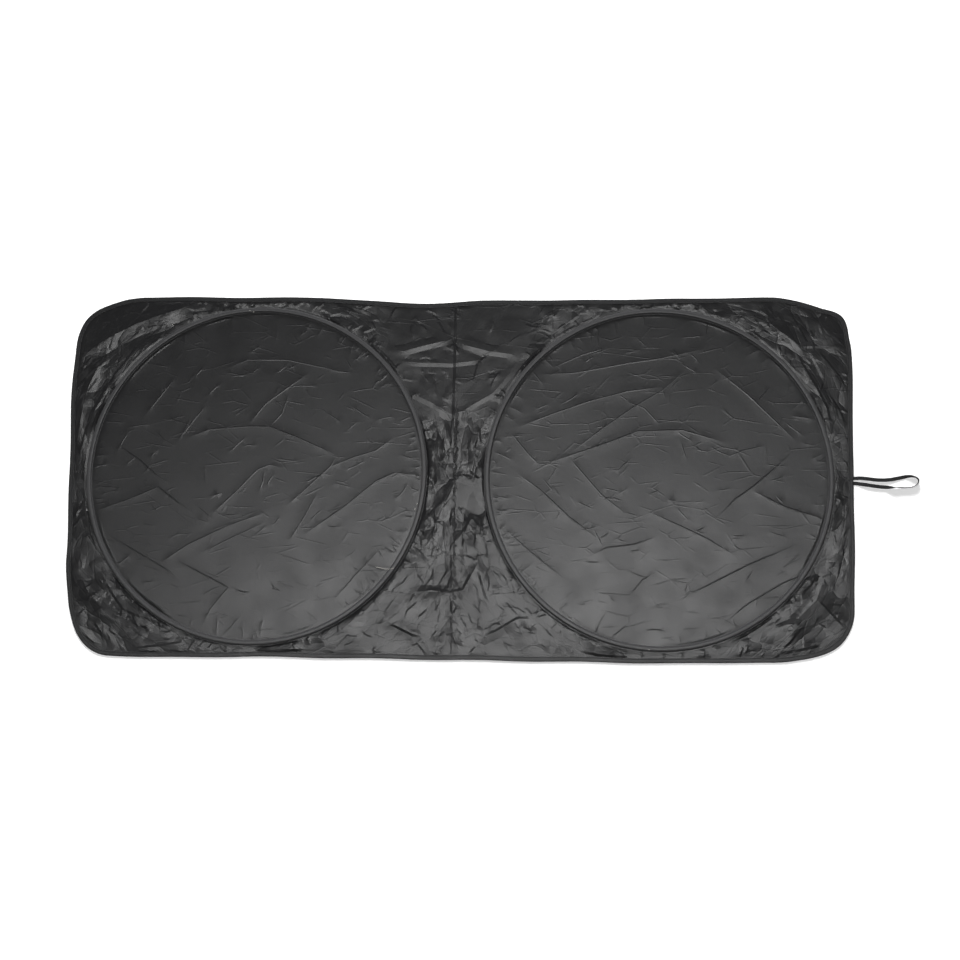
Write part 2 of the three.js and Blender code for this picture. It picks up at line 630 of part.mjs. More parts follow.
// The elastic loop: flat under the hem, turning on its edge towards its far end
function makeStrap() {
  const [first, last] = [STRAP_ROUTE[0], STRAP_ROUTE.at(-1)];
  const route = [[-STRAP_TAIL, first[1]], ...STRAP_ROUTE, [-STRAP_TAIL, last[1]]];
  const curve = new THREE.CatmullRomCurve3(
    route.map(([x, y]) => new THREE.Vector3(HALF_LENGTH + x, STRAP_Y + y, 0)),
  );
  const steps = Math.round(curve.getLength() / STRAP_STEP);
  const [halfWidth, halfThickness] = [STRAP_WIDTH / 2, STRAP_THICKNESS / 2];
  const farX = HALF_LENGTH + Math.max(...route.map(([x]) => x));
  const sections = [];
  for (let k = 0; k <= steps; k += 1) {
    const at = curve.getPointAt(k / steps);
    const ahead = curve.getTangentAt(k / steps);
    const turned = ease((at.x - HALF_LENGTH) / (STRAP_UPRIGHT * (farX - HALF_LENGTH))) * (Math.PI / 2);
    const [across, upright] = [Math.cos(turned), Math.sin(turned)];
    const middle = halfWidth * upright + halfThickness * across;
    const corners = [[-1, -1], [1, -1], [1, 1], [-1, 1]];
    sections.push(corners.map(([w, t]) => {
      const side = w * halfWidth * across - t * halfThickness * upright;
      const up = w * halfWidth * upright + t * halfThickness * across;
      return [at.x - ahead.y * side, at.y + ahead.x * side, middle + up];
    }));
  }
  return sweep(sections, false);
}

// A named piece with its own colour and finish
function addPiece(group, name, geometry, colour, roughness, metalness = 0) {
  geometry.computeVertexNormals();
  const material = new THREE.MeshStandardMaterial({ color: colour, roughness, metalness });
  const mesh = new THREE.Mesh(geometry, material);
  mesh.name = name;
  group.add(mesh);
  return mesh;
}

const sunshade = new THREE.Group();
const hem = makeHem();
addPiece(sunshade, 'shade_sheet', makeSheet(hem), 0x2e2e30, 0.42);
addPiece(sunshade, 'edge_binding', makeBinding(hem), 0x262628, 0.6);
HOOPS.forEach((hoop) => {
  addPiece(sunshade, `hoop_casing_${hoop.name}`, makeCasing(), 0x343436, 0.5).position.x = hoop.x;
  addPiece(sunshade, `hoop_strip_${hoop.name}`, makeStrip(hoop), 0x8d9196, 0.35, 1).position.x = hoop.x;
  addPiece(sunshade, `strip_sleeve_${hoop.name}`, makeSleeve(hoop), 0xa9acb0, 0.4, 1).position.x = hoop.x;
});
addPiece(sunshade, 'elastic_loop', makeStrap(), 0x1b1b1c, 0.75);

export default sunshade;
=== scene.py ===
"""Folding windscreen sunshade, lying open on a pale surface.

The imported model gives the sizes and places. This script dresses it: the creased
polyester sheet, its binding, the hoops' casings, the elastic loop, the steel inside
and the sewing, each with a procedural finish, under plain soft studio light. Lengths
are in millimetres, but for the studio and finished meshes, which are in metres.
"""
import logging
import math
import random
from dataclasses import dataclass, field
from enum import Enum
from functools import partial
from typing import Callable, Iterable, Sequence

import bmesh
import bpy
import numpy as np
from mathutils import Matrix, Vector
from mathutils.bvhtree import BVHTree
from mathutils.geometry import delaunay_2d_cdt


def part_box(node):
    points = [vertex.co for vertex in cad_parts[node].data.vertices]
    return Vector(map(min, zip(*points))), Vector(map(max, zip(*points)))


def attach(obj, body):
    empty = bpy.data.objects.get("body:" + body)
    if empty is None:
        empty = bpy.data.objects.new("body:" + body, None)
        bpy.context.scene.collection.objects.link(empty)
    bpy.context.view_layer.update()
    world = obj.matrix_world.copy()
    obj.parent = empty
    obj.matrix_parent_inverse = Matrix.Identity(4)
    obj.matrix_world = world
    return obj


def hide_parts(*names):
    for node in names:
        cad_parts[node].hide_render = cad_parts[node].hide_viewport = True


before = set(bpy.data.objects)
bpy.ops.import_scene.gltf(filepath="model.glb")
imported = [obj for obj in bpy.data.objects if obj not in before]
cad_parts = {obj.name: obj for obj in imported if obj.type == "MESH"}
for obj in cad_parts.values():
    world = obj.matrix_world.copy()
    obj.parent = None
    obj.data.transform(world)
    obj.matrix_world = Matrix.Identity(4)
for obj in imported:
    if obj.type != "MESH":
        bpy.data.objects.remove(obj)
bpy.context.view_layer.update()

logging.basicConfig(level=logging.INFO, format="%(message)s")
log = logging.getLogger("sunshade")

MM = 0.001
TURN = 2 * math.pi
Point = tuple[float, float]
Socket = bpy.types.NodeSocket
Line = Sequence[Point]
Adder = Callable[..., bpy.types.Node]
# What a wave texture's scale is times the distance from band to band
WAVE_SCALE = TURN / 20
# Height of a crease at its ends, as a share of its rise, and the share of it that runs in
CREASE_END = 0.1
CREASE_RUN_IN = 0.3
# Distance between rows of an even scatter, as a share of its step
ROW_STEP = 0.87


class Side(Enum):
    """The two hoops, by the end of the sheet that each holds out."""

    LEFT = "left"
    RIGHT = "right"


class Seed(Enum):
    """Seeds of the random draws, one for each kind of crease or corner."""

    SHORT_LINES = 61
    FOLDS = 31
    STRIPS = 83
    GATHERS = 47
    RIM_FOLDS = 53
    CORNERS = 11
    SWELLS = 23

    def draw(self) -> random.Random:
        """Starts a row of random numbers."""
        return random.Random(self.value)


# Small helpers


def ease(share: np.ndarray | float) -> np.ndarray:
    """Rises smoothly from 0 to 1 as share goes from 0 to 1.

    Args:
        share: One number or an array of them.

    Returns:
        The eased numbers.
    """
    held = np.clip(share, 0.0, 1.0)
    return held * held * (3 - 2 * held)


def linear_colour(code: str, alpha: float = 1.0) -> tuple[float, float, float, float]:
    """Turns an sRGB hex colour to the linear one that shaders take.

    Args:
        code: Six hex digits, such as "2b2b2d".
        alpha: Opacity.

    Returns:
        Linear red, green, blue and alpha.
    """
    shares = [int(code[i : i + 2], 16) / 255 for i in (0, 2, 4)]
    linear = [c / 12.92 if c <= 0.04045 else ((c + 0.055) / 1.055) ** 2.4 for c in shares]
    return (*linear, alpha)


def add_node(tree: bpy.types.NodeTree, kind: str, settings: dict | None = None, **inputs) -> bpy.types.Node:
    """Adds one node, with its settings, values and links.

    Args:
        tree: The node tree.
        kind: The node's type name.
        settings: Properties of the node itself.
        **inputs: Sockets by name with _ for a space, or by number as i0 and i1. Each is a
            value or another node's output socket.

    Returns:
        The new node.
    """
    node = tree.nodes.new(kind)
    for name, value in (settings or {}).items():
        setattr(node, name, value)
    for name, value in inputs.items():
        key = int(name[1:]) if name[0] == "i" and name[1:].isdigit() else name.replace("_", " ")
        socket = node.inputs[key]
        if isinstance(value, bpy.types.NodeSocket):
            tree.links.new(value, socket)
        else:
            socket.default_value = value
    return node


def new_finish(name: str) -> tuple[bpy.types.Material, Adder, Socket]:
    """Starts a material with an empty node tree.

    Args:
        name: The finish's name.

    Returns:
        The material, a function that adds a node to it, and the place that patterns follow.
    """
    material = bpy.data.materials.new(name)
    material.use_nodes = True
    tree = material.node_tree
    tree.nodes.clear()
    add = partial(add_node, tree)
    return material, add, add("ShaderNodeTexCoord").outputs["Object"]


def warped(add: Adder, place: Socket, size: float, shift: float, detail: float) -> Socket:
    """Shifts places by a soft noise, so that a pattern on them is less regular.

    Args:
        add: Adds a node to the finish.
        place: The places to shift.
        size: Size of the noise in millimetres.
        shift: How far it shifts them, in millimetres.
        detail: The noise's detail.

    Returns:
        The shifted places.
    """
    noise = add("ShaderNodeTexNoise", Vector=place, Scale=1 / (size * MM), Detail=detail)
    moved = add(
        "ShaderNodeVectorMath", {"operation": "SCALE"}, i0=noise.outputs["Color"], Scale=shift * MM
    )
    return add("ShaderNodeVectorMath", {"operation": "ADD"}, i0=place, i1=moved.outputs[0]).outputs[0]


def new_object(name: str, data: bpy.types.ID) -> bpy.types.Object:
    """Makes an object at the origin and links it to the scene.

    Args:
        name: The object's name.
        data: Its mesh, lamp or camera.

    Returns:
        The object.
    """
    made = bpy.data.objects.new(name, data)
    bpy.context.scene.collection.objects.link(made)
    return made


def shade_smooth(mesh: bpy.types.Mesh) -> None:
    """Shades all faces of a mesh smooth."""
    mesh.polygons.foreach_set("use_smooth", [True] * len(mesh.polygons))


def bent_line(middle: np.ndarray, angle: float, half: float, bend: float) -> np.ndarray:
    """Makes a short line of three points with a slight bend.

    Args:
        middle: The place that it lies about.
        angle: Its direction in radians.
        half: Half its length.
        bend: How far its middle point lies to the side, as a share of the half length.

    Returns:
        Its points.
    """
    reach = np.array([math.cos(angle), math.sin(angle)]) * half
    aside = np.array([-reach[1], reach[0]]) * bend
    return np.array([middle - reach, middle + aside, middle + reach])


def mesh_object(name: str, vertices: Iterable, faces: Iterable, smooth: bool = True) -> bpy.types.Object:
    """Makes a mesh object at the origin, with its place in its mesh.

    Args:
        name: The piece's name.
        vertices: Corner places in metres.
        faces: Lists of corner numbers.
        smooth: Whether faces are shaded smooth.

    Returns:
        The linked object.
    """
    mesh = bpy.data.meshes.new(name)
    mesh.from_pydata([tuple(map(float, v)) for v in vertices], [], [tuple(map(int, f)) for f in faces])
    mesh.validate()
    if smooth:
        shade_smooth(mesh)
    mesh.update()
    return new_object(name, mesh)


def sweep(name: str, sections: np.ndarray, closed: bool) -> bpy.types.Object:
    """Joins equal sections to one solid, as a ring or with a cap at each end.

    Args:
        name: The piece's name.
        sections: Array of sections by corners by three, in metres.
        closed: Whether the last section joins the first.

    Returns:
        The solid, its faces pointing out.
    """
    count, size = sections.shape[:2]
    faces = []
    for k in range(count if closed else count - 1):
        here, there = k * size, ((k + 1) % count) * size
        for i in range(size):
            j = (i + 1) % size
            faces.append((here + i, here + j, there + j, there + i))
    if not closed:
        faces.append(tuple(reversed(range(size))))
        faces.append(tuple(range((count - 1) * size, count * size)))
    piece = mesh_object(name, sections.reshape(-1, 3), faces)
    rebuilt = bmesh.new()
    rebuilt.from_mesh(piece.data)
    bmesh.ops.recalc_face_normals(rebuilt, faces=rebuilt.faces)
    rebuilt.to_mesh(piece.data)
    rebuilt.free()
    return piece


def dress(piece: bpy.types.Object, finish: "Cloth | Thread") -> bpy.types.Object:
    """Gives a piece its finish and reports it.

    Args:
        piece: The piece.
        finish: What it is made of.

    Returns:
        The piece.
    """
    piece.data.materials.append(finish.make())
    log.info("%s: %d faces", piece.name, len(piece.data.polygons))
    return piece


# Finishes


@dataclass(frozen=True)
class Cloth:
    """A woven cloth or tape with a plain weave, a sheen and small creases."""

    name: str
    colour: str
    worn_colour: str
    roughness: float
    thread_mm: float
    weave_depth_mm: float
    crease_mm: float = 5.0
    crease_depth_mm: float = 0.1
    metallic: float = 0.0
    sheen: float = 0.0
    sheen_roughness: float = 0.4
    patch_mm: float = 60.0
    line_cell_mm: float = 30.0
    line_width_mm: float = 1.5
    line_depth_mm: float = 0.0
    facet_tilt: float = 0.0
    groove_mm: float = 0.0
    gloss: float = 0.7
    # Direction of each set of pressed lines in degrees, their stretch along it, and
    # their cell, times the finish's own
    pressed_ways: tuple = ((24.0, 2.6, 1.0), (-38.0, 2.2, 1.4))
    # Size of each set of facets in millimetres, and its tilt, times the finish's own
    facet_sets: tuple = ((24.0, 1.0), (9.0, 0.6))
    facet_edge_mm: float = 1.6

    def make(self) -> bpy.types.Material:
        """Builds the material.

        Returns:
            The node material.
        """
        material, add, place = new_finish(self.name)
        # Handling leaves faint patches, a little duller and paler than the rest
        patches = add("ShaderNodeTexNoise", Vector=place, Scale=1 / (self.patch_mm * MM), Detail=4.0)
        worn = patches.outputs["Fac"]
        colour = add(
            "ShaderNodeMix", {"data_type": "RGBA"}, Factor=worn, i6=linear_colour(self.colour),
            i7=linear_colour(self.worn_colour),
        )
        rough = add(
            "ShaderNodeMapRange", Value=worn, From_Min=0.3, From_Max=0.7, To_Min=self.roughness - 0.03,
            To_Max=self.roughness + 0.05,
        )
        # Plain weave: two crossing sets of threads
        threads = []
        for direction in ("X", "Y"):
            wave = add(
                "ShaderNodeTexWave",
                {"wave_type": "BANDS", "bands_direction": direction, "wave_profile": "SIN"},
                Vector=place, Scale=WAVE_SCALE / (self.thread_mm * MM), Distortion=0.0,
            )
            threads.append(wave.outputs["Fac"])
        weave = add("ShaderNodeMath", {"operation": "MULTIPLY"}, i0=threads[0], i1=threads[1])
        fine = add(
            "ShaderNodeBump", Strength=1.0, Distance=self.weave_depth_mm * MM, Height=weave.outputs[0]
        )
        # Small dents, too fine for the mesh
        dents = add(
            "ShaderNodeTexVoronoi", {"feature": "F1"},
            Vector=warped(add, place, self.crease_mm * 2, self.crease_mm, 2.0),
            Scale=1 / (self.crease_mm * MM),
        )
        dented = add(
            "ShaderNodeBump", Strength=1.0, Distance=self.crease_depth_mm * MM,
            Height=dents.outputs["Distance"], Normal=fine.outputs["Normal"],
        )
        normal = dented.outputs["Normal"]
        if self.line_depth_mm:
            normal = self.add_pressed_net(add, place, normal)
        if self.facet_tilt:
            normal = self.add_facets(add, normal)
        shader = add(
            "ShaderNodeBsdfPrincipled", Base_Color=colour.outputs[2], Roughness=rough.outputs[0],
            Metallic=self.metallic, Normal=normal, Specular_IOR_Level=self.gloss,
            Sheen_Weight=self.sheen, Sheen_Roughness=self.sheen_roughness,
        )
        add("ShaderNodeOutputMaterial", Surface=shader.outputs[0])
        return material

    def add_pressed_net(self, add: Adder, place: Socket, normal: Socket) -> Socket:
        """Adds faint straight lines in two directions, left from the sheet's folding.

        Args:
            add: Adds a node to the finish.
            place: The place on the sheet.
            normal: The normal so far.

        Returns:
            The normal with the lines.
        """
        heights = []
        for degrees, stretch, cell in self.pressed_ways:
            size = self.line_cell_mm * cell
            turned = add(
                "ShaderNodeMapping", Vector=place, Rotation=(0, 0, math.radians(-degrees)),
                Scale=(1 / stretch, 1, 0),
            ).outputs[0]
            net = add(
                "ShaderNodeTexVoronoi", {"feature": "DISTANCE_TO_EDGE", "voronoi_dimensions": "2D"},
                Vector=turned, Scale=1 / (size * MM),
            )
            line = add(
                "ShaderNodeMapRange", Value=net.outputs["Distance"], From_Max=self.line_width_mm / size,
                To_Min=1.0, To_Max=0.0,
            )
            # A noise a little smaller than the cells breaks the lines up
            gaps = add("ShaderNodeTexNoise", Vector=turned, Scale=1.3 / (size * MM))
            kept = add("ShaderNodeMapRange", Value=gaps.outputs["Fac"], From_Min=0.5, From_Max=0.62)
            broken = add(
                "ShaderNodeMath", {"operation": "MULTIPLY"}, i0=line.outputs[0], i1=kept.outputs[0]
            )
            heights.append(broken.outputs[0])
        both = add("ShaderNodeMath", {"operation": "ADD"}, i0=heights[0], i1=heights[1])
        bump = add(
            "ShaderNodeBump", Strength=1.0, Distance=self.line_depth_mm * MM, Height=both.outputs[0],
            Normal=normal,
        )
        return bump.outputs["Normal"]

    def add_facets(self, add: Adder, normal: Socket) -> Socket:
        """Tips flat facets this way and that, with a groove between, where the mesh is crumpled.

        Args:
            add: Adds a node to the finish.
            normal: The normal so far.

        Returns:
            The normal with the facets.
        """
        share = add("ShaderNodeAttribute", {"attribute_name": "crumple"}).outputs["Fac"]
        laid = add("ShaderNodeAttribute", {"attribute_name": "round_hoop"}).outputs["Vector"]
        bent = warped(add, laid, 45, 30, 1.0)
        tilts = []
        for size, tilted in self.facet_sets:
            amount = self.facet_tilt * tilted
            scale = 1 / (size * MM)
            cells = add("ShaderNodeTexVoronoi", {"voronoi_dimensions": "2D"}, Vector=bent, Scale=scale)
            even = add(
                "ShaderNodeVectorMath", {"operation": "SUBTRACT"}, i0=cells.outputs["Color"],
                i1=(0.5, 0.5, 0.5),
            )
            tilt = add(
                "ShaderNodeVectorMath", {"operation": "MULTIPLY"}, i0=even.outputs[0],
                i1=(amount, amount, 0),
            )
            tilts.append(tilt.outputs[0])
            edge = add(
                "ShaderNodeTexVoronoi", {"feature": "DISTANCE_TO_EDGE", "voronoi_dimensions": "2D"},
                Vector=bent, Scale=scale,
            )
            groove = add(
                "ShaderNodeMapRange", Value=edge.outputs["Distance"], From_Max=self.facet_edge_mm / size
            )
            depth = add("ShaderNodeMath", {"operation": "MULTIPLY"}, i0=groove.outputs[0], i1=share)
            cut = add(
                "ShaderNodeBump", Strength=1.0, Distance=self.groove_mm * min(1.0, size / 20) * MM,
                Height=depth.outputs[0], Normal=normal,
            )
            normal = cut.outputs["Normal"]
        both = add("ShaderNodeVectorMath", {"operation": "ADD"}, i0=tilts[0], i1=tilts[1])
        eased = add("ShaderNodeVectorMath", {"operation": "SCALE"}, i0=both.outputs[0], Scale=share)
        tipped = add("ShaderNodeVectorMath", {"operation": "ADD"}, i0=normal, i1=eased.outputs[0])
        level = add("ShaderNodeVectorMath", {"operation": "NORMALIZE"}, i0=tipped.outputs[0])
        return level.outputs[0]


@dataclass(frozen=True)
class Steel:
    """Rolled or crimped steel with fine lines along its length."""

    name: str
    colour: str
    roughness: float
    line_mm: float

    def make(self) -> bpy.types.Material:
        """Builds the material.

        Returns:
            The node material.
        """
        material, add, place = new_finish(self.name)
        lines = add(
            "ShaderNodeTexNoise", Vector=place, Scale=1 / (self.line_mm * MM), Detail=3.0
        ).outputs["Fac"]
        rough = add(
            "ShaderNodeMapRange", Value=lines, To_Min=self.roughness - 0.08,
            To_Max=self.roughness + 0.08,
        )
        bump = add("ShaderNodeBump", Strength=0.4, Distance=0.02 * MM, Height=lines)
        shader = add(
            "ShaderNodeBsdfPrincipled", Base_Color=linear_colour(self.colour), Metallic=1.0,
            Roughness=rough.outputs[0], Normal=bump.outputs["Normal"],
        )
        add("ShaderNodeOutputMaterial", Surface=shader.outputs[0])
        return material


@dataclass(frozen=True)
class Thread:
    """Spun polyester sewing thread, twisted from two plies."""

    name: str
    colour: str
    twist_mm: float = 0.6

    def make(self) -> bpy.types.Material:
        """Builds the material.

        Returns:
            The node material.
        """
        material, add, place = new_finish(self.name)
        twist = add(
            "ShaderNodeTexWave", {"wave_type": "BANDS", "bands_direction": "DIAGONAL"}, Vector=place,
            Scale=WAVE_SCALE / (self.twist_mm * MM),
        )
        bump = add("ShaderNodeBump", Strength=0.6, Distance=0.05 * MM, Height=twist.outputs["Fac"])
        shader = add(
            "ShaderNodeBsdfPrincipled", Base_Color=linear_colour(self.colour), Roughness=0.55,
            Normal=bump.outputs["Normal"],
        )
        add("ShaderNodeOutputMaterial", Surface=shader.outputs[0])
        return material


# Black polyester taffeta, coated and pressed: a satin gloss on a near-black ground
SHEET_FACE = Cloth(
    "coated_polyester_taffeta_black", "0d0d0e", "111112",
    roughness=0.395, thread_mm=0.9, weave_depth_mm=0.008, crease_mm=9.0, crease_depth_mm=0.05,
    line_depth_mm=0.16, facet_tilt=0.3, groove_mm=0.3, gloss=0.785,
)
# Its underside carries the silver coating that throws the sun back
SHEET_BACK = Cloth(
    "coated_polyester_taffeta_silver", "b4b6b9", "a9abae",
    roughness=0.4, thread_mm=0.9, weave_depth_mm=0.008, crease_mm=9.0, crease_depth_mm=0.06,
    metallic=0.55, line_depth_mm=0.12, facet_tilt=0.2, groove_mm=0.2,
)
# Woven polyester tapes: duller than the sheet, with a coarser thread
BINDING_CLOTH = Cloth(
    "woven_polyester_binding_tape", "131314", "181819",
    roughness=0.48, thread_mm=0.8, weave_depth_mm=0.03, sheen=0.05,
)
CASING_CLOTH = Cloth(
    "woven_polyester_casing_tape", "2b2b2c", "323233",
    roughness=0.46, thread_mm=0.8, weave_depth_mm=0.02, sheen=0.05,
)
# Thin knitted elastic: matt black rubber threads under polyester yarn
ELASTIC_CLOTH = Cloth(
    "knitted_flat_elastic_black", "101011", "161617",
    roughness=0.7, thread_mm=0.9, weave_depth_mm=0.12, crease_mm=4.0, crease_depth_mm=0.05,
    sheen=0.2,
)
# Rolled flat spring wire, grey and even, and the brighter tinned sleeve round its ends
STRIP_STEEL = Steel("rolled_spring_steel", "a9adb1", roughness=0.32, line_mm=0.8)
SLEEVE_STEEL = Steel("tinned_crimped_steel", "c4c6c8", roughness=0.28, line_mm=1.2)
# Black thread on the seams, and one undyed end left by the sewer
SEAM_THREAD = Thread("spun_polyester_thread_black", "232325")
LOOSE_THREAD = Thread("spun_polyester_thread_pale", "b9b6ae")


# Sizes


def packed_spans() -> dict[Side, tuple[float, float]]:
    """Reads each packed casing's lowest and highest place along the sheet, in millimetres."""
    boxes = {side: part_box(f"hoop_casing_{side.value}") for side in Side}
    return {side: (low.x / MM, high.x / MM) for side, (low, high) in boxes.items()}


@dataclass(frozen=True)
class ShadeSizes:
    """The sunshade's sizes in millimetres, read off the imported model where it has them."""

    casing_width: float = 11.0
    end_margin: float = 40.0
    side_margin: float = 25.0
    corner_radius: float = 100.0
    cloth: float = 0.3
    clearance: float = 0.3
    binding_width: float = 8.0
    binding_tape: float = 0.5
    rim_half: float = 6.1
    strap_tail: float = 16.0
    strap_width: float = 7.0
    strap_thickness: float = 1.0
    strap_y: float = -4.0
    edge_wave: float = 0.8
    edge_wave_length: float = 190.0
    hoop_spans: dict[Side, tuple[float, float]] = field(default_factory=packed_spans)

    @property
    def hoop_radius(self) -> float:
        """Radius of a hoop's centre line."""
        low, high = self.hoop_spans[Side.LEFT]
        return (high - low) / 2 - self.casing_width / 2

    def hoop_x(self, side: Side) -> float:
        """Place of a hoop's centre along the sheet."""
        return sum(self.hoop_spans[side]) / 2

    @property
    def half_length(self) -> float:
        """Half the sheet's length before its hem is pulled about."""
        return self.hoop_x(Side.RIGHT) + self.hoop_radius + self.end_margin

    @property
    def half_width(self) -> float:
        """Half the sheet's width before its hem is pulled about."""
        return self.hoop_radius + self.side_margin

    @property
    def hem_level(self) -> float:
        """Height of the cloth's underside inside the binding."""
        return self.binding_tape + self.clearance

    @property
    def hem_top(self) -> float:
        """Height of the binding's upper face."""
        return self.hem_level + self.cloth + self.clearance + self.binding_tape

    def on_hoop(self, side: Side, radius: float, angle: float) -> Point:
        """Place at a distance and an angle from a hoop's centre."""
        return self.hoop_x(side) + radius * math.cos(angle), radius * math.sin(angle)

    def strap_lift(self, x: np.ndarray, y: np.ndarray) -> np.ndarray:
        """How far the hem stands up to pass over the loop's tails.

        Args:
            x: Places along the sheet.
            y: Places across it.

        Returns:
            The lift at each place.
        """
        plateau = self.strap_tail + 2 * self.strap_width
        away = np.hypot(x - self.half_length, y - self.strap_y)
        return (self.strap_thickness + self.clearance) * (1 - ease((away - plateau) / plateau))


@dataclass
class Hem:
    """The sheet's edge: a rounded rectangle that the folds draw in and out."""

    sizes: ShadeSizes
    # Place as shares of half length and half width, outward pull and reach
    pulls: tuple = (
        ((-1, 0.5), 5.4, 180),
        ((-1, -0.45), -6.5, 220),
        ((-0.995, -0.8), -16, 115),
        ((-0.915, 0.98), -7.6, 70),
        ((-0.74, -1), 4, 197),
        ((-0.15, 1), -9, 165),
        ((0, 1), -5.6, 160),
        ((0.26, 1), -3.7, 220),
        ((0.76, 1), 3.5, 133),
        ((0.9, 0.995), -6.9, 68),
        ((0.975, 0.88), 10, 45),
        ((1, 0.52), 4.4, 151),
        ((1, -0.66), -4, 182),
        ((0.95, -0.93), -7.2, 102),
        ((0.89, -0.99), -6.9, 74),
        ((0.76, -1), -4.2, 170),
    )

    def straight_path(self, count: int) -> tuple[np.ndarray, np.ndarray, float]:
        """The rounded rectangle, from the middle of the right end, anticlockwise.

        Args:
            count: Number of even steps.

        Returns:
            Places, outward directions, and the whole length.
        """
        s = self.sizes
        cx, cy, r = s.half_length - s.corner_radius, s.half_width - s.corner_radius, s.corner_radius
        runs = []
        corners = [(cx, cy, 0), (-cx, cy, 1), (-cx, -cy, 2), (cx, -cy, 3)]
        starts = [(s.half_length, 0), (cx, s.half_width), (-s.half_length, cy), (-cx, -s.half_width)]
        for (x, y, quarter), (sx, sy) in zip(corners, starts):
            begin = quarter * TURN / 4
            first = (x + r * math.cos(begin), y + r * math.sin(begin))
            runs.append(("line", (sx, sy), first, math.hypot(first[0] - sx, first[1] - sy)))
            runs.append(("arc", (x, y), begin, r * TURN / 4))
        runs.append(("line", (s.half_length, -cy), (s.half_length, 0), cy))
        length = sum(run[3] for run in runs)
        places, outs = [], []
        for k in range(count):
            left = length * k / count
            for kind, a, b, run_length in runs:
                if left <= run_length:
                    break
                left -= run_length
            if kind == "line":
                share = left / run_length if run_length else 0
                ahead = ((b[0] - a[0]) / run_length, (b[1] - a[1]) / run_length)
                places.append((a[0] + (b[0] - a[0]) * share, a[1] + (b[1] - a[1]) * share))
                outs.append((ahead[1], -ahead[0]))
            else:
                angle = b + left / r
                places.append((a[0] + r * math.cos(angle), a[1] + r * math.sin(angle)))
                outs.append((math.cos(angle), math.sin(angle)))
        return np.array(places), np.array(outs), length

    def stations(self, step: float) -> tuple[np.ndarray, np.ndarray]:
        """Edge points and their outward directions, about a step apart.

        Args:
            step: Distance between stations in millimetres.

        Returns:
            Two arrays of places and directions.
        """
        length = self.straight_path(8)[2]
        count = round(length / step)
        places, outs, length = self.straight_path(count)
        waves = round(length / self.sizes.edge_wave_length)
        pull = self.sizes.edge_wave * np.sin(np.arange(count) / count * waves * TURN)
        for at, amount, reach in self.pulls:
            anchor = np.array(at) * (self.sizes.half_length, self.sizes.half_width)
            away = np.hypot(*(places - anchor).T)
            pull = pull + amount * (1 - ease(away / reach))
        edge = places + outs * pull[:, None]
        ahead = np.roll(edge, -1, axis=0) - np.roll(edge, 1, axis=0)
        out = np.stack([ahead[:, 1], -ahead[:, 0]], axis=1)
        return edge, out / np.linalg.norm(out, axis=1, keepdims=True)


# Cloth shapes


@dataclass(frozen=True)
class Crease:
    """One crease: a line of points in millimetres, its rise, and how far each side slopes."""

    line: np.ndarray
    rise: float
    left: float
    right: float

    def height(self, places: np.ndarray) -> np.ndarray:
        """Height of the crease over each place.

        Args:
            places: Array of places, in millimetres.

        Returns:
            The heights, 0 away from the crease.
        """
        reach = max(self.left, self.right)
        low, high = self.line.min(0) - reach, self.line.max(0) + reach
        near = np.nonzero(((places > low) & (places < high)).all(1))[0]
        heights = np.zeros(len(places))
        if len(near) == 0:
            return heights
        best = np.full(len(near), np.inf)
        along = np.zeros(len(near))
        side = np.zeros(len(near))
        travelled = 0.0
        for a, b in zip(self.line[:-1], self.line[1:]):
            run = b - a
            length = float(np.hypot(*run))
            to = places[near] - a
            share = np.clip((to @ run) / length**2, 0, 1)
            gap = to - share[:, None] * run
            distance = np.hypot(*gap.T)
            closer = distance < best
            best = np.where(closer, distance, best)
            along = np.where(closer, travelled + share * length, along)
            side = np.where(closer, np.sign(run[0] * gap[:, 1] - run[1] * gap[:, 0]), side)
            travelled += length
        width = np.where(side > 0, self.left, self.right)
        end = np.minimum(along, travelled - along)
        taper = np.clip(CREASE_END + end / (CREASE_RUN_IN * travelled), 0, 1)
        heights[near] = self.rise * taper * np.clip(1 - best / width, 0, 1)
        return heights

    def rows(self, step: float, offsets: Sequence[float]) -> np.ndarray:
        """Places in rows along the crease.

        Args:
            step: Distance between places along a row.
            offsets: Distances of the rows from the crease.

        Returns:
            Array of places.
        """
        found = []
        for a, b in zip(self.line[:-1], self.line[1:]):
            run = b - a
            length = float(np.hypot(*run))
            count = max(1, round(length / step))
            normal = np.array([-run[1], run[0]]) / length
            shares = (np.arange(count) + 0.5) / count
            for offset in offsets:
                found.append(a + shares[:, None] * run + normal * offset)
        return np.concatenate(found)


